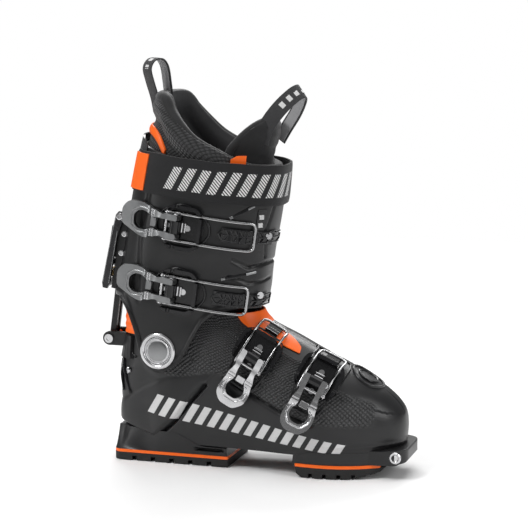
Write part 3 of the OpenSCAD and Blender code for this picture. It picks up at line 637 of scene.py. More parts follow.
BLACK = plastic("black_plastic", (0.006, 0.006, 0.0065), (0.014, 0.014, 0.015))
GLOSS = plastic("gloss_black", (0.006, 0.006, 0.007), (0.016, 0.016, 0.017), 0.18, 0.008)
SHELL = shell_plastic()
ORANGE = plastic("orange_plastic", (0.92, 0.12, 0.003), (1.0, 0.165, 0.006), 0.45)
RUBBER = plastic("rubber", (0.009, 0.009, 0.009), (0.02, 0.02, 0.02), 0.7, 0.06)
SMOKE = plastic("smoke_plastic", (0.03, 0.03, 0.032), (0.055, 0.055, 0.058), 0.22, 0.01)
SATIN = metal("satin_aluminium", (0.2, 0.204, 0.208), (0.33, 0.334, 0.338), 0.32, (1, 1, 1), 0.03)
BRIGHT = metal("bright_steel", (0.5, 0.5, 0.51), (0.68, 0.68, 0.69), 0.2, (0.15, 1, 1), 0.006)
WIRE_STEEL = metal("wire_steel", (0.3, 0.3, 0.305), (0.46, 0.46, 0.465), 0.2, (0.15, 1, 1), 0.006)
GREY_METAL = metal("dark_steel", (0.03, 0.03, 0.032), (0.08, 0.08, 0.083), 0.28, (1, 1, 0.2))
BRASS = metal("brass_ring", (0.45, 0.3, 0.12), (0.6, 0.42, 0.2), 0.3)
MESH_KNIT = knit("liner_knit", (0.005, 0.005, 0.005), (0.04, 0.04, 0.042), 6.4, 0.8, 0.9)
LINING = lining("liner_lining", (0.007, 0.007, 0.0075), (0.02, 0.02, 0.021))
WEBBING = weave("webbing", (0.018, 0.018, 0.019), (0.06, 0.06, 0.062))
WEBBING_PALE = weave("webbing_pale", (0.26, 0.26, 0.265), (0.42, 0.42, 0.43))
PALE_PRINT = weave("pale_print", (0.5, 0.5, 0.5), (0.7, 0.7, 0.7))
STRAP = strap_cloth()
FELT = lining("felt", (0.03, 0.03, 0.032), (0.07, 0.07, 0.072))
BOARD = plastic("board_plastic", (0.02, 0.02, 0.021), (0.04, 0.04, 0.042), 0.5)
TAPE = knit("velcro", (0.008, 0.008, 0.009), (0.03, 0.03, 0.032), 1.4, 0.95, 0.5)


# Materials and edge widths of the CAD nodes that stay in view
BASES = [f"{name}_base" for name in BUCKLES]
RACKS = [f"{name}_rack" for name in BUCKLES]
CAD_FINISH = [
    (RUBBER, ["heel_tread", "toe_tread"]),
    (ORANGE, ["heel_layer", "toe_layer", "walk_bushings"]),
    (BOARD, ["boot_board"]),
    (FELT, ["footbed"]),
    (BLACK, ["heel_bracket", "cuff_bushings", "walk_housing", "walk_bar"]),
    (GREY_METAL, ["walk_lever", "walk_rollers", "strap_ring"]),
    (GLOSS, BASES + RACKS),
    (SATIN, ["walk_bracket"]),
    (BRIGHT, ["toe_insert", "heel_insert", "heel_insert_screws", "walk_pin", "bracket_bolts", "rack_screws",
              "shell_lever_pins", "cuff_lever_pins", "shell_rivets", "cuff_rivets", "walk_rivets",
              "walk_hinge_pin"]),
]
SOFT_EDGES = [
    (0.9, BASES),
    (0.6, ["heel_tread", "toe_tread"]),
    (0.5, ["heel_bracket", "walk_housing", "walk_lever", "walk_bar", "strap_ring"]),
    (0.4, ["walk_bracket"]),
    (0.3, ["heel_insert"] + RACKS),
]


def finish_cad_nodes():
    """Gives the CAD nodes that stay in view their materials and soft edges."""
    for material, names in CAD_FINISH:
        for name in names:
            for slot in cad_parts[name].material_slots:
                slot.material = material
    for width, names in SOFT_EDGES:
        for name in names:
            bevel(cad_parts[name], width)


# ================= lower shell =================
SHELL_COLUMNS = 460
# Level at which the rim's x is read, its rise beside the instep, the skin's low end and the inner floor
RIM_LEVEL = 143
RIM_RISE = 7
SHELL_LOW = 21.5
SHELL_FLOOR = 27
CREASE = [(-148, 37), (-134, 33), (-107, 25), (-84, 46), (-66, 68), (-52, 84)]
CREASE_FRONT = [(-107, 25), (-60, 20), (0, 18)]
SEAM = [(28, 117), (45, 108), (62, 96), (84, 80), (104, 72), (126, 66)]
RELIEF_LOW = [(-160, 104), (-113, 100), (-86, 92), (-41, 97), (-22, 90), (28, 66), (73, 54), (120, 53),
              (155, 53)]
RELIEF_HIGH = [(-160, 160), (0, 158), (25, 124), (51, 111), (84, 89), (125, 72), (155, 66)]
LEDGE = [(-30, 93), (-22, 88), (28, 64.5), (60, 54)]
WELT = [(-150, 60), (-120, 78), (-92, 92), (-60, 98)]
# Middle of the pin socket's mouth
SOCKET_X, SOCKET_Y, SOCKET_Z = 142, 31.5, 22.5
# Each heel rib runs through these (angle round the shell, height)
HEEL_RIBS = [((174, 121), (160, 115), (146, 106)), ((174, 111), (163, 95), (153, 68)),
             ((176, 99), (168, 86), (162, 70))]


def shell_relief(p):
    """How far the outer side of the shell stands out of its plain surface, in millimetres."""
    x, y, z = p[..., 0], p[..., 1], p[..., 2]
    lateral = y < 0
    out = groove(x, z, CREASE, 2.0, 4.4) + step_along(x, z, CREASE, 32, 2.4)
    out += groove(x, z, CREASE_FRONT, 2.2, 0.8) + np.where(lateral, groove(x, z, LEDGE, 1.7, 3.2), 0)
    out += np.where(lateral, step_along(x, z, SEAM, 26, -1.3), 0)
    out += np.where(lateral, 0.7, 0.5) * groove(x, z, WELT, 3.0, 0.9)
    out += 0.9 * np.exp(-((np.hypot(x - PIVOT[0], z - PIVOT[1]) - 25) / 3.0) ** 2)
    out += 0.7 * np.exp(-((z - 33) / 1.6) ** 2) * smooth(20, 60, x)
    return out


def shell_grid(inset, low, rows, columns, top, relief=False):
    """Rows of points round the shell from a height up to its top, which is a function of the angle."""
    phi = (np.arange(columns) + 0.5) * 360 / columns
    upper = top(phi)[None, :]
    z = low + (upper - low) * np.linspace(0, 1, rows)[:, None]
    grid = shell_point(z, phi[None, :], inset)
    if relief:
        out = shell_relief(grid)
        fade = smooth(0, 6, upper - z) * smooth(0, 3, z - low)
        grid = shell_point(z, phi[None, :], inset - out * fade)
    return grid, phi


def shell_rim(phi):
    """The shell's rim, which runs on up inside the cuff beside the instep."""
    x = shell_point(RIM_LEVEL, phi)[..., 0]
    return curve(SHELL_RIM, x) + RIM_RISE * smooth(-70, -45, x) * (1 - smooth(-8, 8, x))


def make_lower_shell():
    """The shell's skin and lining as one closed piece, with masks for the relief and the bars."""
    outer, phi = shell_grid(0, SHELL_LOW, 130, SHELL_COLUMNS, shell_rim, relief=True)
    top = outer[-1][:, 2]
    turn_in = [shell_point(top + 0.8 * math.sin(a), phi, SHELL_WALL / 2 * (1 - math.cos(a)))
               for a in np.linspace(0.3, math.pi - 0.3, 5)]
    inner = shell_grid(SHELL_WALL, SHELL_FLOOR, 40, SHELL_COLUMNS, shell_rim)[0][::-1]
    under = shell_point(SHELL_LOW - 0.5, phi, 2.0)[None]
    grid = np.concatenate([under, outer, np.array(turn_in), inner])
    shell = grid_object("shell_body", grid, SHELL, "shell", caps=True, uv=surface_uv(grid))
    x, h = grid[..., 0], grid[..., 2]
    outside = np.zeros(grid.shape[:2])
    outside[1:1 + len(outer)] = 1
    low, high = curve(RELIEF_LOW, x), curve(RELIEF_HIGH, x)
    relief = outside * smooth(low - 2, low + 4, h) * (1 - smooth(high - 5, high + 1, h))
    relief *= smooth(-122, -114, x) * (1 - smooth(110, 124, x))
    add_mask(shell, "relief", relief.ravel())
    add_mask(shell, "outer", outside.ravel())
    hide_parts("lower_shell")
    for piece in (make_heel_block(), make_forefoot_block(), make_toe_lug()):
        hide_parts("sole_frame")


def block_between(name, outline, low, high, inset, swell):
    """A block from a flat outline up to the shell's side; high(x) is its top, inset(x, z) cuts into it."""
    flat = np.array(outline)
    x, y = flat[:, 0], flat[:, 1]
    top = high(x)
    side = np.where(y < 0, -1, 1)
    upper = on_shell(np.maximum(x, curve(SHELL_REAR, top) + 2), top, 0.3, side)
    spread = np.where(np.abs(y) > LUG_WIDTH / 4, upper[:, 1], y) - y
    rear = x < x.min() + 12
    rows = [np.stack([x, y * 0.98, np.full_like(x, low)], -1)]
    for s in np.linspace(0, 1, 24):
        z = low + (top - low) * s
        k = s ** swell
        along = np.where(rear, x + 1.2 * k, x)
        rows.append(np.stack([along, y + spread * k - side * inset(x, z), z], -1))
    obj = grid_object(name, np.array(rows), SHELL, "shell", caps=True, smooth_angle=45)
    fix_normals(obj)
    return obj


def dense(outline):
    """The same closed outline with a point about every two millimetres."""
    out = []
    for a, b in zip(outline, outline[1:] + outline[:1]):
        n = max(1, int(math.dist(a, b) / 2.0))
        out += [(a[0] + (b[0] - a[0]) * k / n, a[1] + (b[1] - a[1]) * k / n) for k in range(n)]
    return out


def make_heel_block():
    """The heel block: flush with the shell above it, with a dark slot on each side near its front end."""
    back, front, wide = -SOLE_LENGTH / 2 + 0.2, -30, LUG_WIDTH / 2 - 0.2
    corners = [(back, -wide), (front, -wide), (front, wide), (back, wide)]
    outline = dense(rounded(corners, [9, 0.5, 0.5, 9], 8))

    def high(x):
        return 33 - 13 * smooth(-88, -52, x)

    def slot(x, z):
        length = smooth(-66, -61, x) * (1 - smooth(-37, -33, x))
        height = smooth(15.2, 15.8, z) * (1 - smooth(18.4, 19, z))
        return 5 * length * height
    return block_between("heel_block", outline, 11.05, high, slot, 0.7)


def make_forefoot_block():
    """The step of the frame that the front tread is bonded to."""
    skin = shell_point(30, np.arange(360.0), 1.5)
    keep = [(x, y) for x, y, _ in skin if 40 <= x <= 118]
    outline = sorted(q for q in keep if q[1] < 0) + sorted((q for q in keep if q[1] > 0), reverse=True)
    return block_between("forefoot_block", dense(outline), 13.6, lambda x: 26 - 4 * smooth(62, 44, x),
                         lambda x, z: 0 * x, 0.8)


def toe_lug_profile():
    """The lug's outline in x and z, with its corners rounded."""
    tip, top = SOLE_LENGTH / 2, LUG_HEIGHT
    corners = [(96, 25.5), (98, 13.7), (126, 14), (142, 14.5), (tip, 17.5), (tip, top - 1),
               (140, top - 1.5), (126, top - 3), (110, 28)]
    return rounded(corners, [0.5, 0.5, 1, 2, 3, 2, 1, 1, 1], 4)


def make_toe_lug():
    """The toe lug: its side profile, cut back in plan to rounded corners, and a ringed socket each side."""
    tip, wide, corner = SOLE_LENGTH / 2, LUG_WIDTH / 2 - 0.1, 16
    profile = toe_lug_profile()
    rows = []
    for t in np.linspace(-math.pi / 2, math.pi / 2, 61):
        y = wide * math.sin(t)
        past = max(0.0, abs(y) - (wide - corner))
        nose = tip - corner + math.sqrt(corner * corner - past * past)
        rows.append([(min(x, nose), y, z) for x, z in profile])
    lug = grid_object("toe_lug", np.array(rows), SHELL, "shell", caps=True, smooth_angle=30)
    ring = [(3.0, -3.0), (5.9, -3.0), (5.9, 2.2), (5.3, 2.9), (3.8, 2.9), (3.0, 2.2)]
    cup = [(0.3, -3.0), (3.1, -3.0), (3.1, 1.6), (0.3, 1.4)]
    for tag, side in SIDES:
        place = move(SOCKET_X, side * SOCKET_Y, SOCKET_Z) @ turn(-90 * side, "X")
        turned(f"toe_socket_ring_{tag}", ring, place, BRIGHT, "shell", 40, 30)
        turned(f"toe_socket_cup_{tag}", cup, place, GREY_METAL, "shell", 32)
    return lug


def shell_top(x, y, lift):
    """The highest point of the shell's skin at x and y."""
    z = np.linspace(60, 140, 321)
    wide = np.abs(on_shell(np.full_like(z, x), z, 0.0, 1 if y > 0 else -1)[:, 1]) >= abs(y)
    return x, y, z[np.flatnonzero(wide & (curve(SHELL_FRONT, z) > x))[-1]] + lift


def make_shell_details():
    """Ribs that hug the heel, a bolt beside them, and two oval rims on top of the toe."""
    for tag, side in SIDES:
        for k, route in enumerate(HEEL_RIBS):
            path = [tuple(shell_point(z, side * phi, -1.0)) for phi, z in route]
            sweep(f"heel_rib_{tag}_{k}", spline(path, 16), box_section(4.6, 3.6, 1), GLOSS,
                  "shell", scales=np.linspace(1.0, 0.35, 16), reference=UP)
        centre = shell_point(92, 180 - side * 24, -0.6)
        bolt(f"heel_bolt_{tag}", centre, (-0.8, side * 0.6, 0.05), 4.2, "shell")
    middle_x, middle_y, half_long, half_wide = 106, 3, 15, 19
    for k, (size, material) in enumerate(((1.0, SHELL), (0.6, GLOSS))):
        ring = [shell_top(middle_x + half_long * size * math.cos(a),
                          middle_y + half_wide * size * math.sin(a), 0.7) for a in angles(64)]
        sweep(f"toe_top_rim_{k}", ring, box_section(2.8 - k, 2.2, 0.9), material, "shell",
              closed=True, reference=UP)


def bolt(name, centre, axis, radius, body):
    """A round-headed bolt with a round recess."""
    axis = Vector(axis).normalized()
    place = Matrix.Translation(Vector(centre)) @ axis.to_track_quat("Z", "Y").to_matrix().to_4x4()
    r = radius
    profile = [(r * 0.9, -2.0), (r, -1.2), (r, 0.3), (r * 0.9, 0.9), (r * 0.62, 1.15), (r * 0.5, 1.1),
               (r * 0.46, 0.2), (r * 0.2, 0.1)]
    return turned(name, profile, place, BRIGHT, body, 24, 25)


# ================= gaiters, inside and liner =================

def patch(name, outer, inner, material, body, smooth_angle=55):
    """A closed piece between an outer and an inner sheet, both [row, column, xyz]."""
    section = np.concatenate([outer, inner[::-1]]).transpose(1, 0, 2)
    values = surface_uv(outer)
    both = np.concatenate([values, values[::-1]]).transpose(1, 0, 2)
    obj = grid_object(name, section, material, body, caps=True, uv=both, smooth_angle=smooth_angle)
    fix_normals(obj)
    return obj


def cuff_patch(name, z, phi, outer, inner, material, body="cuff", smooth_angle=55):
    """A closed piece over the cuff's form, between two insets from its skin."""
    return patch(name, cuff_point(z, phi, outer), cuff_point(z, phi, inner), material, body,
                 smooth_angle)


def span(low, high, count, column=False):
    """Evenly spread values as one row of a sheet, or as one column."""
    values = np.linspace(low, high, count)
    return values[:, None] if column else values[None, :]


def make_front_gaiter():
    """The orange panel over the instep, wider on the inner side towards its top."""
    across = span(0, 1, 60)
    s = span(0, 1, 40, column=True)
    left = curve([(0, -33), (0.2, -37), (0.5, -42), (1, -44)], s)
    right = curve([(0, -23), (0.16, -17), (0.35, -10), (0.55, -4), (0.7, 12), (0.85, 40), (1, 42)], s)
    phi = left + (right - left) * across
    z = 120 + 37 * s + 5 * across * (1 - s)
    fold = 0.5 * np.sin(s * 9) * smooth(0, 0.2, s) * smooth(0, 0.2, 1 - s)
    edge = smooth(0, 0.08, across) * 0.6 + 0.4
    outer = shell_point(z, phi, -(1.7 + fold * 0.3) * edge)
    piece = patch("gaiter_front", outer, shell_point(z, phi, -0.25), ORANGE, "shell")
    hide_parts("front_gaiter")


def make_rear_gaiter():
    """The ribbed orange panel behind the ankle, inside the cuff."""
    phi = span(128, 232, 70)
    z = span(130, 160, 24, column=True)
    ribs = 0.35 * np.cos((z - 130) * 2 * np.pi / 7.5)
    piece = cuff_patch("gaiter_rear", z, phi, 12.5 - ribs, 14, ORANGE, "shell")
    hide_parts("rear_gaiter")


def closed_wall(outer, inner, lip, steps):
    """Rows of a tube wall whose two edges are rounded over: outer upwards, then inner downwards."""
    def turn_over(a, b, up):
        middle, half = (a + b) / 2, (a - b) / 2
        return [middle + half * math.cos(t) + up * lip * math.sin(t)
                for t in np.linspace(0, np.pi, steps + 2)[1:-1]]
    up = np.array(UP, float)
    rows = list(outer) + turn_over(outer[-1], inner[-1], up)
    return np.array(rows + list(inner[::-1]) + turn_over(inner[0], outer[0], -up))


# The shaft's lower edge: its radius round the pivot, and its least height in front
LINER_CUT = 70
LINER_FRONT_LOW = 168
# Height of the underside of the liner's foot
LINER_SOLE = 34.5


def liner_low(x):
    """The shaft's lower edge, which stays above the shell's rim when the cuff leans forward."""
    ahead = x - PIVOT[0]
    round_pivot = PIVOT[1] + np.sqrt(np.maximum(0, LINER_CUT ** 2 - ahead ** 2))
    front = np.maximum(LINER_FRONT_LOW, PIVOT[1] + 0.75 * ahead)
    return np.where(x < -50, round_pivot, front)


def liner_grid(inset, swell):
    """Points of the shaft's skin, which stands out by a share of the collar's roll."""
    rows, columns = 90, 240
    phi = (np.arange(columns) + 0.5) * 360 / columns
    low = liner_low(cuff_point(160, phi, 9)[..., 0])
    top = rim(LINER_TOP_RIM, cuff_point, 330, phi)
    z = low + (top - low) * span(0, 1, rows, column=True)
    return cuff_point(z, phi, inset - swell * collar_swell(z, phi, top))


def collar_swell(z, phi, top):
    """The padded roll at the top of the liner."""
    roll = np.exp(-((top - z - 11) / 10) ** 2) * 4.6
    neck = -2.0 * np.exp(-((top - z - 26) / 3.5) ** 2)
    return (roll + neck) * smooth(25, 80, np.abs((phi + 180) % 360 - 180))


def make_liner():
    """The liner's padded shaft, knit outside and felt inside, its collar roll and its padded foot."""
    skin = CUFF_WALL + 0.8
    outer = liner_grid(skin, 1)
    inner = liner_grid(skin + LINER_WALL - 0.4, -0.5)
    behind_bar = (outer[..., 0] < -90) & (np.abs(outer[..., 1]) < 9.2) & (outer[..., 2] < 247)
    outer[..., 0] = np.where(behind_bar, np.maximum(outer[..., 0], inner[..., 0] - 1.0), outer[..., 0])
    grid = closed_wall(outer, inner, 1.5, 7)
    shaft = grid_object("liner_shaft_padded", grid, MESH_KNIT, "cuff", close_rows=True,
                        uv=surface_uv(grid), smooth_angle=80)
    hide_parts("liner_shaft")
    shaft.data.materials.append(FELT)
    first_inner = len(outer) + 3
    for face in shaft.data.polygons:
        if face.vertices[0] // grid.shape[1] >= first_inner:
            face.material_index = 1
    foot_outer, phi = shell_grid(SHELL_WALL + 0.9, LINER_SOLE, 60, 220, liner_foot_top)
    foot_inner, _ = shell_grid(SHELL_WALL + 0.6 + LINER_WALL, LINER_SOLE + 9.8, 60, 220, liner_foot_top)
    make_collar_roll(skin)
    floor = shell_point(LINER_SOLE - 0.5, phi, SHELL_WALL + 3)[None]
    foot_grid = np.concatenate([floor, foot_outer, foot_inner[::-1]])
    foot = grid_object("liner_foot_padded", foot_grid, LINING, "shell", caps=True,
                       uv=surface_uv(foot_grid), smooth_angle=80)
    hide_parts("liner_foot")


def make_collar_roll(skin):
    """The smooth padded roll round the top of the liner, fattest at the back, and a seam on each side."""
    phi = np.arange(0.0, 360, 2)
    top = rim(LINER_TOP_RIM, cuff_point, 330, phi)
    back = smooth(90, 160, np.abs(np.where(phi > 180, phi - 360, phi)))
    path = cuff_point(top - 2.2 - 2.2 * back, phi, skin + LINER_WALL / 2 - 0.6 - 0.8 * back)
    roll = sweep("collar_roll", path, circle(4.3, 16), LINING, "cuff", closed=True,
                 reference=UP, scales=1 + 0.5 * back, smooth_angle=80)
    for tag, angle in (("lateral", 258), ("medial", 102)):
        seam = cuff_point(np.linspace(300, 329, 12), angle, skin + LINER_WALL + 0.2)
        sweep(f"liner_seam_{tag}", seam, circle(0.8, 8), LINING, "cuff", smooth_angle=80)


def liner_foot_top(phi):
    """The foot's upper edge, which follows the shell's rim up to the ankle."""
    return np.minimum(146, rim(SHELL_RIM, shell_point, RIM_LEVEL, phi) + 4)


# The tongue's reach each way in degrees, its lower end and top, and how far its top drops at the sides
TONGUE_REACH = 64
TONGUE_LOW = 182
TONGUE_TOP = 350
TONGUE_DROP = 30


def tongue_top(phi):
    """The tongue's upper edge, an arch that is highest in the middle."""
    return TONGUE_TOP - TONGUE_DROP * (np.abs(phi) / TONGUE_REACH) ** 3


def make_tongue():
    """The padded tongue, the cushion along its edge and the panel on its inner side."""
    inset = CUFF_WALL + LINER_WALL + 1.4
    phi = span(-TONGUE_REACH, TONGUE_REACH, 84)
    s = span(0, 1, 110, column=True)
    z = TONGUE_LOW + s * (tongue_top(phi) - TONGUE_LOW)
    ribs = 0.5 * np.cos(z * 2 * np.pi / 9) * smooth(285, 300, z) * (1 - smooth(24, 34, np.abs(phi)))
    pad = 1 - (np.abs(phi) / TONGUE_REACH) ** 6 * 0.7
    bulge = 4.5 * smooth(312, 334, z) * (1 - 0.5 * smooth(342, 350, z)) * (1 - (phi / TONGUE_REACH) ** 4)
    tongue = cuff_patch("tongue_padded", z, phi, inset - bulge - ribs * 0.6 + (1 - pad) * 1.5,
                        inset + TONGUE * pad, LINING, smooth_angle=80)
    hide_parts("liner_tongue")
    edge = TONGUE_REACH - 1.0
    rim_phi = np.concatenate([np.full(8, -edge), np.linspace(1 - edge, edge - 1, 50), np.full(8, edge)])
    drop = np.concatenate([np.linspace(34, 3, 8), np.zeros(50), np.linspace(3, 34, 8)])
    path = cuff_point(tongue_top(rim_phi) - 2.5 - drop, rim_phi, inset + TONGUE / 2 - 0.5)
    cushion = sweep("tongue_cushion", path, circle(4.4, 16), LINING, "cuff",
                    reference=(0.7, 0, 0.7), smooth_angle=80)
    panel = cuff_patch("tongue_panel", span(292, 344, 40, column=True), span(-26, 26, 40),
                       inset + TONGUE - 0.4, inset + TONGUE + 0.9, TAPE)


def make_loop(name, node, path, across):
    """A webbing loop: a dark outer band with a row of pale marks, and a paler lining."""
    points = spline(path, 60)
    dark = sweep(name, points, box_section(LOOP_WIDTH, 1.3, 0.4), WEBBING, "cuff",
                 reference=across)
    inward = points.mean(0) - points
    inner = points + inward / np.linalg.norm(inward, axis=1)[:, None] * 1.1
    light = sweep(name + "_lining", inner, box_section(LOOP_WIDTH - 4, 0.7, 0.3), WEBBING_PALE,
                  "cuff", reference=across)
    for piece in (dark, light):
        band_uv(piece, len(points))
    for k in range(18, 34, 4):
        out = points[k:k + 3] - (inner[k:k + 3] - points[k:k + 3]) * 0.62
        sweep(f"{name}_mark_{k}", out, box_section(6, 0.3, 0.1), PALE_PRINT, "cuff",
              reference=across)
    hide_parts(node)


def band_uv(obj, rows):
    """Surface lengths for a swept band."""
    p = np.empty(len(obj.data.vertices) * 3)
    obj.data.vertices.foreach_get("co", p)
    p = p.reshape(rows, -1, 3) / MM
    add_uv(obj, surface_uv(p).reshape(-1, 2))


def make_loops():
    """The pull loops behind and on the tongue; the rear one is turned about the vertical."""
    yaw = turn(52, "Z")
    rear = [(-6, 352), (-9, 366), (-15, 384), (-18, 397), (-13, 405), (-4, 406), (2, 399), (5, 384),
            (7, 366), (6, 352)]
    tongue = [(1, -22, 326), (6, -21, 341), (18, -17, 359), (31, -8, 373), (36, 3, 376), (34, 12, 370),
              (26, 19, 355), (15, 21, 338), (8, 21, 326)]
    make_loop("pull_loop_rear", "rear_loop", placed(move(-108) @ yaw, [(x, 0, z) for x, z in rear]),
              tuple(yaw @ Vector((0, 1, 0))))
    make_loop("pull_loop_tongue", "tongue_loop", tongue, (0.75, 0.1, -0.6))


def make_collar_trim():
    """The orange band that shows behind, between the cuff and the liner's collar."""
    phi = span(122, 238, 90)
    s = span(-1, 1, 9, column=True)
    z = rim(TRIM_MIDDLE, cuff_point, 335, phi) + s * 4
    piece = cuff_patch("collar_trim_band", z, phi, CUFF_WALL - 1.0 - 1.2 * (1 - s ** 2), CUFF_WALL + 0.3,
                       ORANGE)
    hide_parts("collar_trim")


# ================= cuff =================
CUFF_COLUMNS = 320
CUFF_LIP = 1.0
SPINE = move(-147.5, 0, 205) @ turn(10.5, "Y")


def cuff_relief(p, phi, z):
    """How far the outer side of the cuff stands out of its plain surface, in millimetres."""
    def front_groove(low, high, line, width, depth):
        return np.where((front > low) & (front < high), groove(front, z, line, width, depth), 0)
    x, y = p[..., 0], p[..., 1]
    front = -((phi + 180) % 360 - 180)
    behind = np.abs(np.abs(front) - 180)
    spine = 1.4 * (1 - smooth(14, 19, np.abs(y))) * (behind < 60) * smooth(165, 185, z)
    slit = front_groove(-30, 64, [(-30, 206), (10, 207), (34, 204), (50, 212)], 1.6, 2.0)
    fold = front_groove(0, 70, [(12, 270), (20, 240), (14, 214)], 1.6, 1.6)
    low_flap = front_groove(-10, 75, [(0, 190), (30, 188), (52, 196)], 1.4, 1.4)
    swell = 0.9 * np.exp(-((z - 224) / 12) ** 2) * smooth(20, 50, front) * (1 - smooth(95, 120, front))
    hollow = -1.2 * np.exp(-((x + 60) / 22) ** 2 - ((z - 152) / 13) ** 2)
    line = groove(x, z, [(-120, 170), (-118, 230), (-104, 290)], 2.2, 1.1)
    return spine + slit + fold + low_flap + swell + hollow + line


def cuff_wall(inset, rows, relief=False):
    """Rows of points round the cuff, from its lower rim to its upper one."""
    phi = (np.arange(CUFF_COLUMNS) + 0.5) * 360 / CUFF_COLUMNS
    low = rim(CUFF_LOW_RIM, cuff_point, 150, phi) + CUFF_LIP
    top = rim(CUFF_TOP_RIM, cuff_point, 310, phi) - CUFF_LIP
    z = low + (top - low) * span(0, 1, rows, column=True)
    if relief:
        out = cuff_relief(cuff_point(z, phi, inset), phi, z) * smooth(1, 7, np.minimum(z - low, top - z))
        out = out + 1.0 * np.exp(-((z - low - 4) / 3) ** 2) + 0.6 * np.exp(-((top - z - 4) / 3) ** 2)
        inset = inset - out
    return cuff_point(z, phi, inset)


def make_cuff():
    """The cuff as one closed wall with rounded edges, cut for the walk bar and the pivots."""
    grid = closed_wall(cuff_wall(0.0, 150, relief=True), cuff_wall(CUFF_WALL, 60), CUFF_LIP, 5)
    cuff = grid_object("cuff_body", grid, BLACK, "cuff", close_rows=True,
                       uv=surface_uv(grid))
    cut_cuff(cuff)
    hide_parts("cuff")


def cut_cuff(cuff):
    """Cuts the slot for the walk bar and the two pivot holes."""
    slot = rounded([(-20, -60), (20, -60), (20, 44), (-20, 44)], 2)
    through = move(PIVOT[0], 0, PIVOT[1]) @ turn(90, "X")
    tools = [plate("slot_cutter", slot, -8, 8, SPINE @ turn(90, "X"), BLACK, None, edge=0),
             turned("pivot_cutter", [(10, -60), (10, 60)], through, BLACK, None)]
    for tool in tools:
        m = cuff.modifiers.new("cut", "BOOLEAN")
        m.object = tool
        m.operation = "DIFFERENCE"
        m.solver = "EXACT"
    bpy.context.view_layer.update()
    depsgraph = bpy.context.evaluated_depsgraph_get()
    mesh = bpy.data.meshes.new_from_object(cuff.evaluated_get(depsgraph))
    cuff.modifiers.clear()
    cuff.data = mesh
    for tool in tools:
        bpy.data.objects.remove(tool)


def make_spoiler():
    """The smoked wing on the back of the cuff, whose top drops towards its ends."""
    low, high, reach = 300, 332, 38
    phi = span(180 - reach, 180 + reach, 60)
    off = np.abs(phi - 180) / reach
    z = low + (high - 10 * off ** 3 - low) * span(0, 1, 30, column=True)
    piece = cuff_patch("spoiler_wing", z, phi, -1.4 - 0.9 * (1 - off ** 4), -0.4, SMOKE)
    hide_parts("spoiler")


def strap_patch(name, heights, turns, outer, inner, material, columns=40, rows=24):
    """A closed piece along the strap, between two heights from its middle, two angles and two lifts."""
    phi = span(*turns, columns)
    s = span(*heights, rows, column=True)
    lie = 0.5 * np.sin(np.radians(phi) * 5) + 0.35 * np.sin(np.radians(phi) * 11)
    z = rim(STRAP_MIDDLE, cuff_point, 292, phi) + s + lie * 0.6
    return cuff_patch(name, z, phi, -outer, -inner, material)


def make_strap():
    """The power strap, its end tab, and the smoked film with a fabric edge on its inner side."""
    half, turns, columns, rows = STRAP_WIDTH / 2, (-152, 146), 150, 24
    skin = STRAP_GAP + STRAP_THICKNESS
    crown = 0.7 * (1 - (span(-half, half, rows, column=True) / half) ** 6)
    strap = strap_patch("power_strap_band", (-half, half), turns, skin - 0.7 + crown, STRAP_GAP, STRAP,
                        columns, rows)
    phi = np.linspace(*turns, columns)
    printed = smooth(-119, -117, phi) * (1 - smooth(14, 16, phi))
    mask = np.concatenate([np.tile(printed, (rows, 1)), np.zeros((rows, columns))]).T
    add_mask(strap, "print", mask.ravel())
    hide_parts("power_strap")
    tab = strap_patch("strap_end_tab", (-18, 18), (-151.5, -131), skin + 1.1, skin + 0.1, ORANGE,
                      30)
    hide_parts("strap_tab")
    strap_patch("strap_film", (-17, 17), (78, 118), skin + 0.9, skin - 0.1, SMOKE)
    edges = (((-18, -16), (76, 120)), ((16, 18), (76, 120)), ((-16, 16), (76, 79)), ((-16, 16), (117, 120)))
    for k, (heights, ends) in enumerate(edges):
        strap_patch(f"strap_film_edge_{k}", heights, ends, skin + 1.4, skin - 0.1, TAPE,
                    rows=12)


def make_cuff_details():
    """The liner's orange tag, the gloss label in front, and two dark slots with metal ends beside it."""
    phi = span(-63, -50, 24)
    low, high = 306, 315.5 - 3 * smooth(-57, -63, phi)
    z = low + (high - low) * span(0, 1, 8, column=True)
    cuff_patch("liner_tag", z, phi, 0.6, 2.6, ORANGE)
    phi = span(-34, -24, 10)
    cuff_patch("front_label", 222 + 40 * span(0, 1, 24, column=True), phi, -0.9, 0.4, GLOSS)
    for k, low in enumerate((228, 236, 244, 252)):
        z = low + 4.6 * span(0, 1, 4, column=True)
        cuff_patch(f"front_label_mark_{k}", z, phi * 0.5 - 14.5 - 0.2 * (z - low), -1.1, -0.7, PALE_PRINT)
    for k, ((x0, z0), (x1, z1)) in enumerate((((-22, 254), (0, 266)), ((-32, 193), (-2, 199)))):
        path = [tuple(on_cuff(x0 + (x1 - x0) * t, z0 + (z1 - z0) * t, 0.1)) for t in np.linspace(0, 1, 9)]
        sweep(f"flap_slot_{k}", path, box_section(3.4, 1.2, 0.5), GLOSS, "cuff",
              reference=UP)
        for end, part in (("a", path[:2]), ("b", path[-3:])):
            raised = [(x, y - 0.5, z) for x, y, z in part]
            sweep(f"flap_slot_{k}_{end}", raised, box_section(2.6, 1.4, 0.6), SATIN, "cuff",
                  reference=UP)


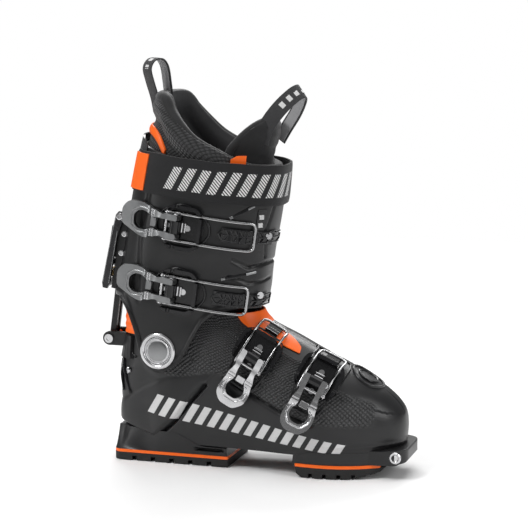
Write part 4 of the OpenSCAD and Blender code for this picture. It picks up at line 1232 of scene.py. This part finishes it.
def make_cuff_inlay():
    """The gloss inlay on the cuff's inner side: a bent stripe that thins out at both ends."""
    route = [(120, 263, 0), (136, 243, 0), (149, 222, 0), (153, 210, 0), (151.5, 197, 0), (145, 176, 0)]
    line = spline(route, 60)
    along = np.gradient(line, axis=0)
    along /= np.linalg.norm(along, axis=1)[:, None]
    half = 0.3 + 4.0 * np.sin(np.linspace(0, math.pi, 60)) ** 0.8
    k = span(-1, 1, 9, column=True)
    phi = line[:, 0] - along[:, 1] * half * k
    z = line[:, 1] + along[:, 0] * half * k
    cuff_patch("cuff_inlay", z, phi, -0.5 - 0.5 * (1 - k ** 4), 0.4, GLOSS)


def make_cuff_flange():
    """The thicker edge of the cuff behind and round each pivot."""
    x = np.linspace(-141, -72, 48)
    taper = 0.45 + 0.55 * np.sin(np.linspace(0.25, math.pi - 0.1, 48)) ** 0.5
    for tag, side in SIDES:
        path = on_cuff(x, curve(CUFF_LOW_RIM, x) + 2.6, 0.5, side)
        sweep(f"cuff_flange_{tag}", path, box_section(5.0, 2.6, 1.1), BLACK, "cuff",
              reference=(1, 0, 0.6), scales=taper)


def make_walk_details():
    """The walk lever's bolts, satin lines along its edges as a painted highlight, roller rings, and the
    ribs that close its housing.
    """
    rib = rounded([(-10.6, -2), (-7.6, -2), (-7.6, 32), (-10.6, 32)], 0.8, 3)
    ring = [(3.2, -0.7), (4.3, -0.7), (4.3, 0.7), (3.2, 0.7)]
    edges = (((-14.0, 41), (-15.4, 20), (-16.8, -29)), ((-10.2, 26), (-10.1, 0), (-10.2, -29)))
    for tag, side in SIDES:
        out = (0, side, 0)
        for k, z in enumerate((4, 24)):
            bolt(f"walk_bolt_{tag}_{k}", SPINE @ Vector((-3, side * 12.4, z)), out, 3.2, "cuff")
        bolt(f"walk_hinge_bolt_{tag}", SPINE @ Vector((-10, side * 15.6, 41)), out, 3.8, "cuff")
        low, high = sorted((-side * 9.2, -side * 11.3))
        plate(f"walk_housing_rib_{tag}", rib, low, high, SPINE @ turn(90, "X"), BLACK,
              "cuff", 0.3)
        # Thin satin rods along the dark lever's edges: a painted highlight of its bright edges
        for k, line in enumerate(edges):
            path = placed(SPINE, [(x, side * 14.95, z) for x, z in line])
            sweep(f"walk_lever_edge_{tag}_{k}", path, circle(0.55, 8), SATIN, "walk_lever")
        turned(f"walk_roller_ring_{tag}", ring, SPINE @ move(-13.5, side * 6.5, -20) @ turn(90, "X"),
               BRASS, "walk_lever", 32)


# ================= buckles =================
# Half widths: of the gap between a lever's arms, of a rack between its rails, and of a bail
LEVER_SLIT = 6.4
RACK_RAIL = 5.2
BAIL_HALF = 13.8


def buckle_frame(b, lean):
    """A buckle's own frame: x from its hinge towards the rack, z out of the boot."""
    return move(*b["at"]) @ turn(b["roll"], "Y") @ turn(90, "X") @ turn(lean, "Y")


def bend(obj, place, rule, cuts):
    """Cuts a flat piece across at each x of its own frame, then moves every point by the rule."""
    bm = bmesh.new()
    bm.from_mesh(obj.data)
    back = place.inverted()
    across = (place.to_3x3() @ Vector((1, 0, 0))).normalized()
    for x in cuts:
        geometry = bm.verts[:] + bm.edges[:] + bm.faces[:]
        at = (place @ Vector((x, 0, 0))) * MM
        bmesh.ops.bisect_plane(bm, geom=geometry, plane_co=at, plane_no=across)
    for v in bm.verts:
        local = back @ (v.co / MM)
        v.co = (place @ Vector(rule(*local))) * MM
    bm.to_mesh(obj.data)
    bm.free()
    obj.data.set_sharp_from_angle(angle=math.radians(40))


def lever_bend(x, y, z):
    """A lever's side view: a thin raised grip, a step down at the waist, and deep arms at the hinge."""
    deep = 1 + 0.75 * smooth(-20, -4, x)
    waist = smooth(-31, -25, x)
    rise = 1.5 * waist * (1 - smooth(-16, -6, x)) - 0.9 * smooth(-44, -34, x) * (1 - waist)
    return x, y, z * deep + rise


def lever_outline(skew, back):
    """The grip and its two arms as one outline; skew is 1 for the longer, lopsided levers of the cuff."""
    half, tail, arm, slit = LEVER_WIDTH / 2, LEVER_LENGTH - 7 * (1 - skew), 12.1, LEVER_SLIT
    outer = [(4.3, arm), (-9, arm + 0.6), (-13, arm - 1), (-18, arm), (-22, arm + 1.6), (-27, arm + 1.8),
             (-38 - skew, half - 2 + 2 * skew), (-tail + 7, half - 2.4 + skew), (-tail, 8),
             (-tail + skew, -7), (-tail + 9 + 14 * skew, -half + 3 - skew),
             (-38 + 6 * skew, -half + 2 - 1.4 * skew), (-27, -arm - 1.8), (-22, -arm - 1.6), (-18, -arm),
             (-13, -arm + 1), (-9, -arm - 0.6), (4.3, -arm)]
    window = [(-back, 5), (6 - back, 9.6), (-33, 9.3), (-28, slit), (-24, slit - 0.8), (-18, slit),
              (4.3, slit)]
    inner = [(x, -y) for x, y in window[::-1]] + window
    radii = [2, 1, 1, 1, 1, 3, 5, 5, 4, 4, 5, 5, 3, 1, 1, 1, 1, 2, 2, 1, 1, 2, 3, 3, 3, 3, 3, 3, 2, 1, 1, 2]
    return rounded(outer + inner, radii, 4)


def make_lever(name, b, material):
    """A lever: a grip open to two waisted arms, with a rim, two raised bright bands on each arm that also
    paint the highlight of its bend, and a bail axle.
    """
    place = buckle_frame(b, b["lean"])
    body = f"{name}_lever"
    skew = 1 if b["body"] == "cuff" else 0
    back = 45 + 2 * skew
    plate_frame = plate(f"{name}_lever_frame", lever_outline(skew, back), -2.3, 2.4, place, material,
                        body, 0)
    bend(plate_frame, place, lever_bend, np.arange(-60, 3, 2.0))
    bevel(plate_frame, 0.8, 3)
    upper = [(-29, 10.4), (-34, 12.2), (5 - back, 12.6), (-3 - back, 7)]
    outline = rounded(upper + [(x, -y) for x, y in upper[::-1]], 3, 4)
    normal = tuple(place.to_3x3() @ Vector(UP))
    sweep(f"{name}_lever_rim", placed(place, [lever_bend(x, y, 2.2) for x, y in outline]), circle(1.0, 10),
          material, body, reference=normal)
    pin_head = [(0.3, -1), (2.6, -1), (2.6, 0.4), (2.0, 0.9), (0.3, 0.9)]
    for side, letter in LETTER.items():
        # Two raised bands across each arm, in bright steel as a painted highlight where the arm bends
        for k, x in enumerate((-22.5, -25.6), 1):
            band = placed(place, [lever_bend(x, side * y, 2.3) for y in np.linspace(LEVER_SLIT, 13.4, 6)])
            sweep(f"{name}_lever_band_{letter}{k}", band, circle(0.8, 8), BRIGHT, body,
                  reference=normal)
        head = place @ move(0, side * 12.3, 0) @ turn(-90 * side, "X")
        turned(f"{name}_pin_head_{letter}", pin_head, head, BRIGHT, body, 20)
    tab = rounded([(-29, -4.6), (-22.5, -4.6), (-22.5, 4.6), (-29, 4.6)], 1, 3)
    plate(f"{name}_lever_tab", tab, -1.9, -0.3, place, material, body, 0.4)
    axle = place @ move(-THROW, 0, 0) @ turn(90, "X")
    turned(f"{name}_lever_axle", [(1.2, -15.2), (1.6, -14.8), (1.6, 14.8), (1.2, 15.2)], axle, BRIGHT,
           body, 20)
    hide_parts(f"{name}_lever")


def over(b, points, lift):
    """Points over the cuff or shell, at each x and y of a buckle's own frame."""
    find = on_cuff if b["body"] == "cuff" else on_shell
    seen = [buckle_frame(b, 0) @ Vector((x, y, 0)) for x, y in points]
    return [tuple(find(p.x, p.z, lift)) for p in seen]


def make_bezel(name, b):
    """The moulded frame that a buckle sits in, a step inside it on the cuff, and two spring pins."""
    cuff = b["body"] == "cuff"
    ring = rounded([(-34, -15), (4, -21), (22, -18), (22, 18), (4, 21), (-34, 15)], 8, 6)
    if cuff:
        ring = [(6 + 25 * math.cos(a) * (1 + 0.12 * math.cos(2 * a)), 22.5 * math.sin(a))
                for a in angles(72)]
    sweep(f"{name}_bezel", over(b, ring, 0.6), box_section(2.6, 2.6, 1.1), GLOSS if cuff else SHELL,
          b["body"], closed=True)
    if cuff:
        ring = [(6 + 21 * math.cos(a), 18.5 * math.sin(a)) for a in angles(60)]
        sweep(f"{name}_bezel_step", over(b, ring, 0.3), box_section(1.6, 1.6, 0.6), BLACK,
              b["body"], closed=True)
    place = buckle_frame(b, b["base"])
    pin = [(0.3, -4.6), (1.25, -4.6), (1.25, 4.6), (0.3, 4.6)]
    for k, x in enumerate((6.2, 9.4)):
        turned(f"{name}_spring_pin_{k}", pin, place @ move(x, 0, -4.9) @ turn(90, "X"), BRIGHT,
               b["body"], 16)


def make_rack_detail(name, b):
    """The slanted rungs of a cuff rack, its rails and its pointed end."""
    first, last = b["rack"]
    rails = [[(first - 5, 0), (first, side * RACK_RAIL), (last, side * RACK_RAIL)] for side in (-1, 1)]
    rails.append([(first - 2, 0), (last, 0)])
    for k, rail in enumerate(rails):
        line = spline([(x, y, 0) for x, y in rail], 24)
        sweep(f"{name}_rack_rail_{k}", over(b, line[:, :2], 3.0), box_section(1.3, 1.6, 0.5), GLOSS,
              "cuff")
    for k, x in enumerate(np.arange(first + 2, last - 1, 4.2)):
        for side, letter in LETTER.items():
            rung = [(x + 2.6 * s, side * RACK_RAIL * (1 - s)) for s in (0, 0.5, 1)]
            sweep(f"{name}_rack_rung_{k}_{letter}", over(b, rung, 3.1), box_section(1.2, 1.8, 0.5), GLOSS,
                  "cuff")


def make_bail(name, b):
    """A smooth U of wire with an eye on each end."""
    place = buckle_frame(b, b["base"])
    body = f"{name}_bail"
    lean = math.radians(b["lean"] - b["base"])
    start_x, start_z = -THROW * math.cos(lean), THROW * math.sin(lean)
    y, route = BAIL_HALF, b["route"]
    (ax, az), (bx, bz) = route[-2:]
    side_path = [(start_x + 1.5, y, start_z)] + [(x, y, z) for x, z in route[:-1]]
    for s, inward in ((0.72, 0.2), (0.94, 2.0)):
        side_path.append((ax + (bx - ax) * s, y - inward, az + (bz - az) * s))
    side_path.append((bx, y - 4.6, bz))
    half = [tuple(p) for p in spline(side_path, 60)]
    cross = [(bx, t, bz) for t in np.linspace(y - 6, 6 - y, 9)]
    whole = half + cross + [(x, -v, z) for x, v, z in half[::-1]]
    wire = sweep(f"{name}_bail_wire", placed(place, whole), circle(WIRE / 2, 14), WIRE_STEEL, body,
                 reference=tuple(place.to_3x3() @ Vector((0.3, 0.2, 1))))
    for k, side in enumerate((-1, 1)):
        eye = place @ move(start_x, side * y, start_z) @ turn(90, "X")
        ring = placed(eye, [(x, v, 0) for x, v in circle(2.35, 24)])
        sweep(f"{name}_bail_eye_{k}", ring, circle(0.68, 10), BRIGHT, body, closed=True,
              reference=tuple(place.to_3x3() @ Vector((0, 1, 0))))
    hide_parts(f"{name}_bail")


def make_pivots():
    """The cuff's hinge rivets: a bright ring, a dark groove, an inner ring, a cap, a shank and a flange."""
    rim_profile = [(13.6, -1.0), (18.3, -1.0), (18.5, 0.2), (18.2, 1.4), (17.0, 2.4), (15.4, 2.4),
                   (14.0, 1.4), (13.6, 0.6)]
    groove_profile = [(15.0, -0.5), (15.0, 0.3), (12.5, 0.7), (10.0, 0.3), (10.0, -0.5)]
    ring_profile = [(11.2, -0.4), (12.9, -0.4), (12.9, 1.3), (12.3, 2.1), (11.7, 2.1), (11.2, 1.3)]
    shank = [(6.98, -16.6), (6.98, -0.4)]
    flange = [(0.4, -18.4), (9.3, -18.4), (9.5, -17.4), (9.0, -16.5), (0.4, -16.5)]
    for (tag, side), dome, cap_material in zip(SIDES, (2.0, 4.2), (SATIN, BRIGHT)):
        cap = [(11.0, -0.6), (11.0, 1.0), (10.4, 1.5), (8.0, 1.3 + dome / 4), (4.0, 1.3 + dome * 0.45),
               (0.4, 1.3 + dome / 2)]
        place = move(PIVOT[0], side * 48.2, PIVOT[1]) @ turn(-90 * side, "X")
        disc = turned(f"pivot_{tag}_rim", rim_profile, place, BRIGHT, "shell", 72, 30)
        turned(f"pivot_{tag}_groove", groove_profile, place, GLOSS, "shell", 72, 30)
        turned(f"pivot_{tag}_ring", ring_profile, place, BRIGHT, "shell", 72, 30)
        turned(f"pivot_{tag}_cap", cap, place, cap_material, "shell", 72, 50)
        turned(f"pivot_{tag}_shank", shank, place, BRIGHT, "shell", 48)
        turned(f"pivot_{tag}_flange", flange, place, BRIGHT, "shell", 48)
        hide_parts(f"pivot_{tag}")


# ================= floor, light, camera =================

def add_object(name, data):
    """A new object in the scene, for data that is neither a piece nor a CAD node."""
    obj = bpy.data.objects.new(name, data)
    bpy.context.scene.collection.objects.link(obj)
    return obj


def make_floor():
    """A pale round floor that fades into the white of the studio away from the boot."""
    s = Shade("floor", Roughness=0.8, Specular_IOR_Level=0.1)
    place, _ = s.place()
    reach = s.node("ShaderNodeVectorMath", operation="LENGTH")
    s.link(place, reach.inputs[0])
    away = s.fade(reach.outputs["Value"], 300, 900)
    pale = s.colours(s.noise(place, 0.01, 2), (0.86, 0.86, 0.86), (0.9, 0.9, 0.9))
    s.colour(s.colours(away, pale, (0, 0, 0)))
    s.shader.inputs["Emission Color"].default_value = (1, 1, 1, 1)
    s.link(away, s.shader.inputs["Emission Strength"])
    sides, below = 96, -0.4
    mesh = bpy.data.meshes.new("floor")
    points = [(x * MM, y * MM, below * MM) for x, y in circle(1600, sides)]
    mesh.from_pydata(points, [], [tuple(range(sides))])
    mesh.materials.append(s.material)
    add_object("floor", mesh)


def aim_at(obj, place, target):
    """Puts a lamp or camera at a place and turns it to the target; both are in metres."""
    obj.location = place
    obj.rotation_euler = (target - place).to_track_quat("-Z", "Y").to_euler()


def make_light(name, place, target, power, size):
    """A rectangular lamp."""
    data = bpy.data.lights.new(name, "AREA")
    data.energy = power
    data.shape = "RECTANGLE"
    data.size, data.size_y = size
    aim_at(add_object(name, data), Vector(place), Vector(target))


def make_world():
    """White to the camera, and a dim white light on the boot."""
    world = bpy.data.worlds.new("studio")
    bpy.context.scene.world = world
    world.use_nodes = True
    tree = world.node_tree
    background = tree.nodes["Background"]
    background.inputs["Color"].default_value = (1, 1, 1, 1)
    strength = tree.nodes.new("ShaderNodeMix")
    strength.inputs["A"].default_value = 0.2
    strength.inputs["B"].default_value = 1.0
    rays = tree.nodes.new("ShaderNodeLightPath")
    tree.links.new(rays.outputs["Is Camera Ray"], strength.inputs["Factor"])
    tree.links.new(strength.outputs["Result"], background.inputs["Strength"])


def make_camera():
    """The camera stands ahead of the boot's outer side, a little above it; lengths are in metres."""
    distance, azimuth, elevation, view_width = 1.9, math.radians(17), math.radians(9), 0.528
    target = Vector((-0.002, 0, 0.203))
    data = bpy.data.cameras.new("camera")
    data.sensor_width = 36
    data.lens = data.sensor_width * distance / view_width
    camera = add_object("camera", data)
    away = Vector((math.sin(azimuth) * math.cos(elevation), -math.cos(azimuth) * math.cos(elevation),
                   math.sin(elevation)))
    aim_at(camera, target + distance * away, target)
    bpy.context.scene.camera = camera


def make_stage():
    """Floor, white studio, five lights and the camera."""
    make_floor()
    make_world()
    bpy.context.scene.view_settings.view_transform = "Standard"
    middle = (0, 0, 0.15)
    make_light("key", (-1.1, -1.3, 2.0), middle, 30, (0.8, 0.8))
    make_light("front", (1.9, -0.6, 1.1), middle, 17, (0.4, 1.5))
    make_light("edge", (-1.7, -0.9, 0.45), (-0.1, 0, 0.2), 6, (0.14, 1.5))
    make_light("back", (-0.4, 2.0, 1.7), middle, 44, (2.0, 0.8))
    make_light("sweep", (0, 0.3, 3.4), (0, 0, 0), 62, (3.2, 3.2))
    make_camera()


finish_cad_nodes()
make_lower_shell()
make_shell_details()
make_front_gaiter()
make_rear_gaiter()
make_liner()
make_tongue()
make_loops()
make_collar_trim()
make_cuff()
make_spoiler()
make_strap()
make_cuff_details()
make_cuff_inlay()
make_cuff_flange()
make_walk_details()
for buckle_name, buckle in BUCKLES.items():
    make_lever(buckle_name, buckle, SATIN if buckle["body"] == "cuff" else BRIGHT)
    make_bail(buckle_name, buckle)
    make_bezel(buckle_name, buckle)
    if "rack" in buckle:
        make_rack_detail(buckle_name, buckle)
make_pivots()
make_stage()
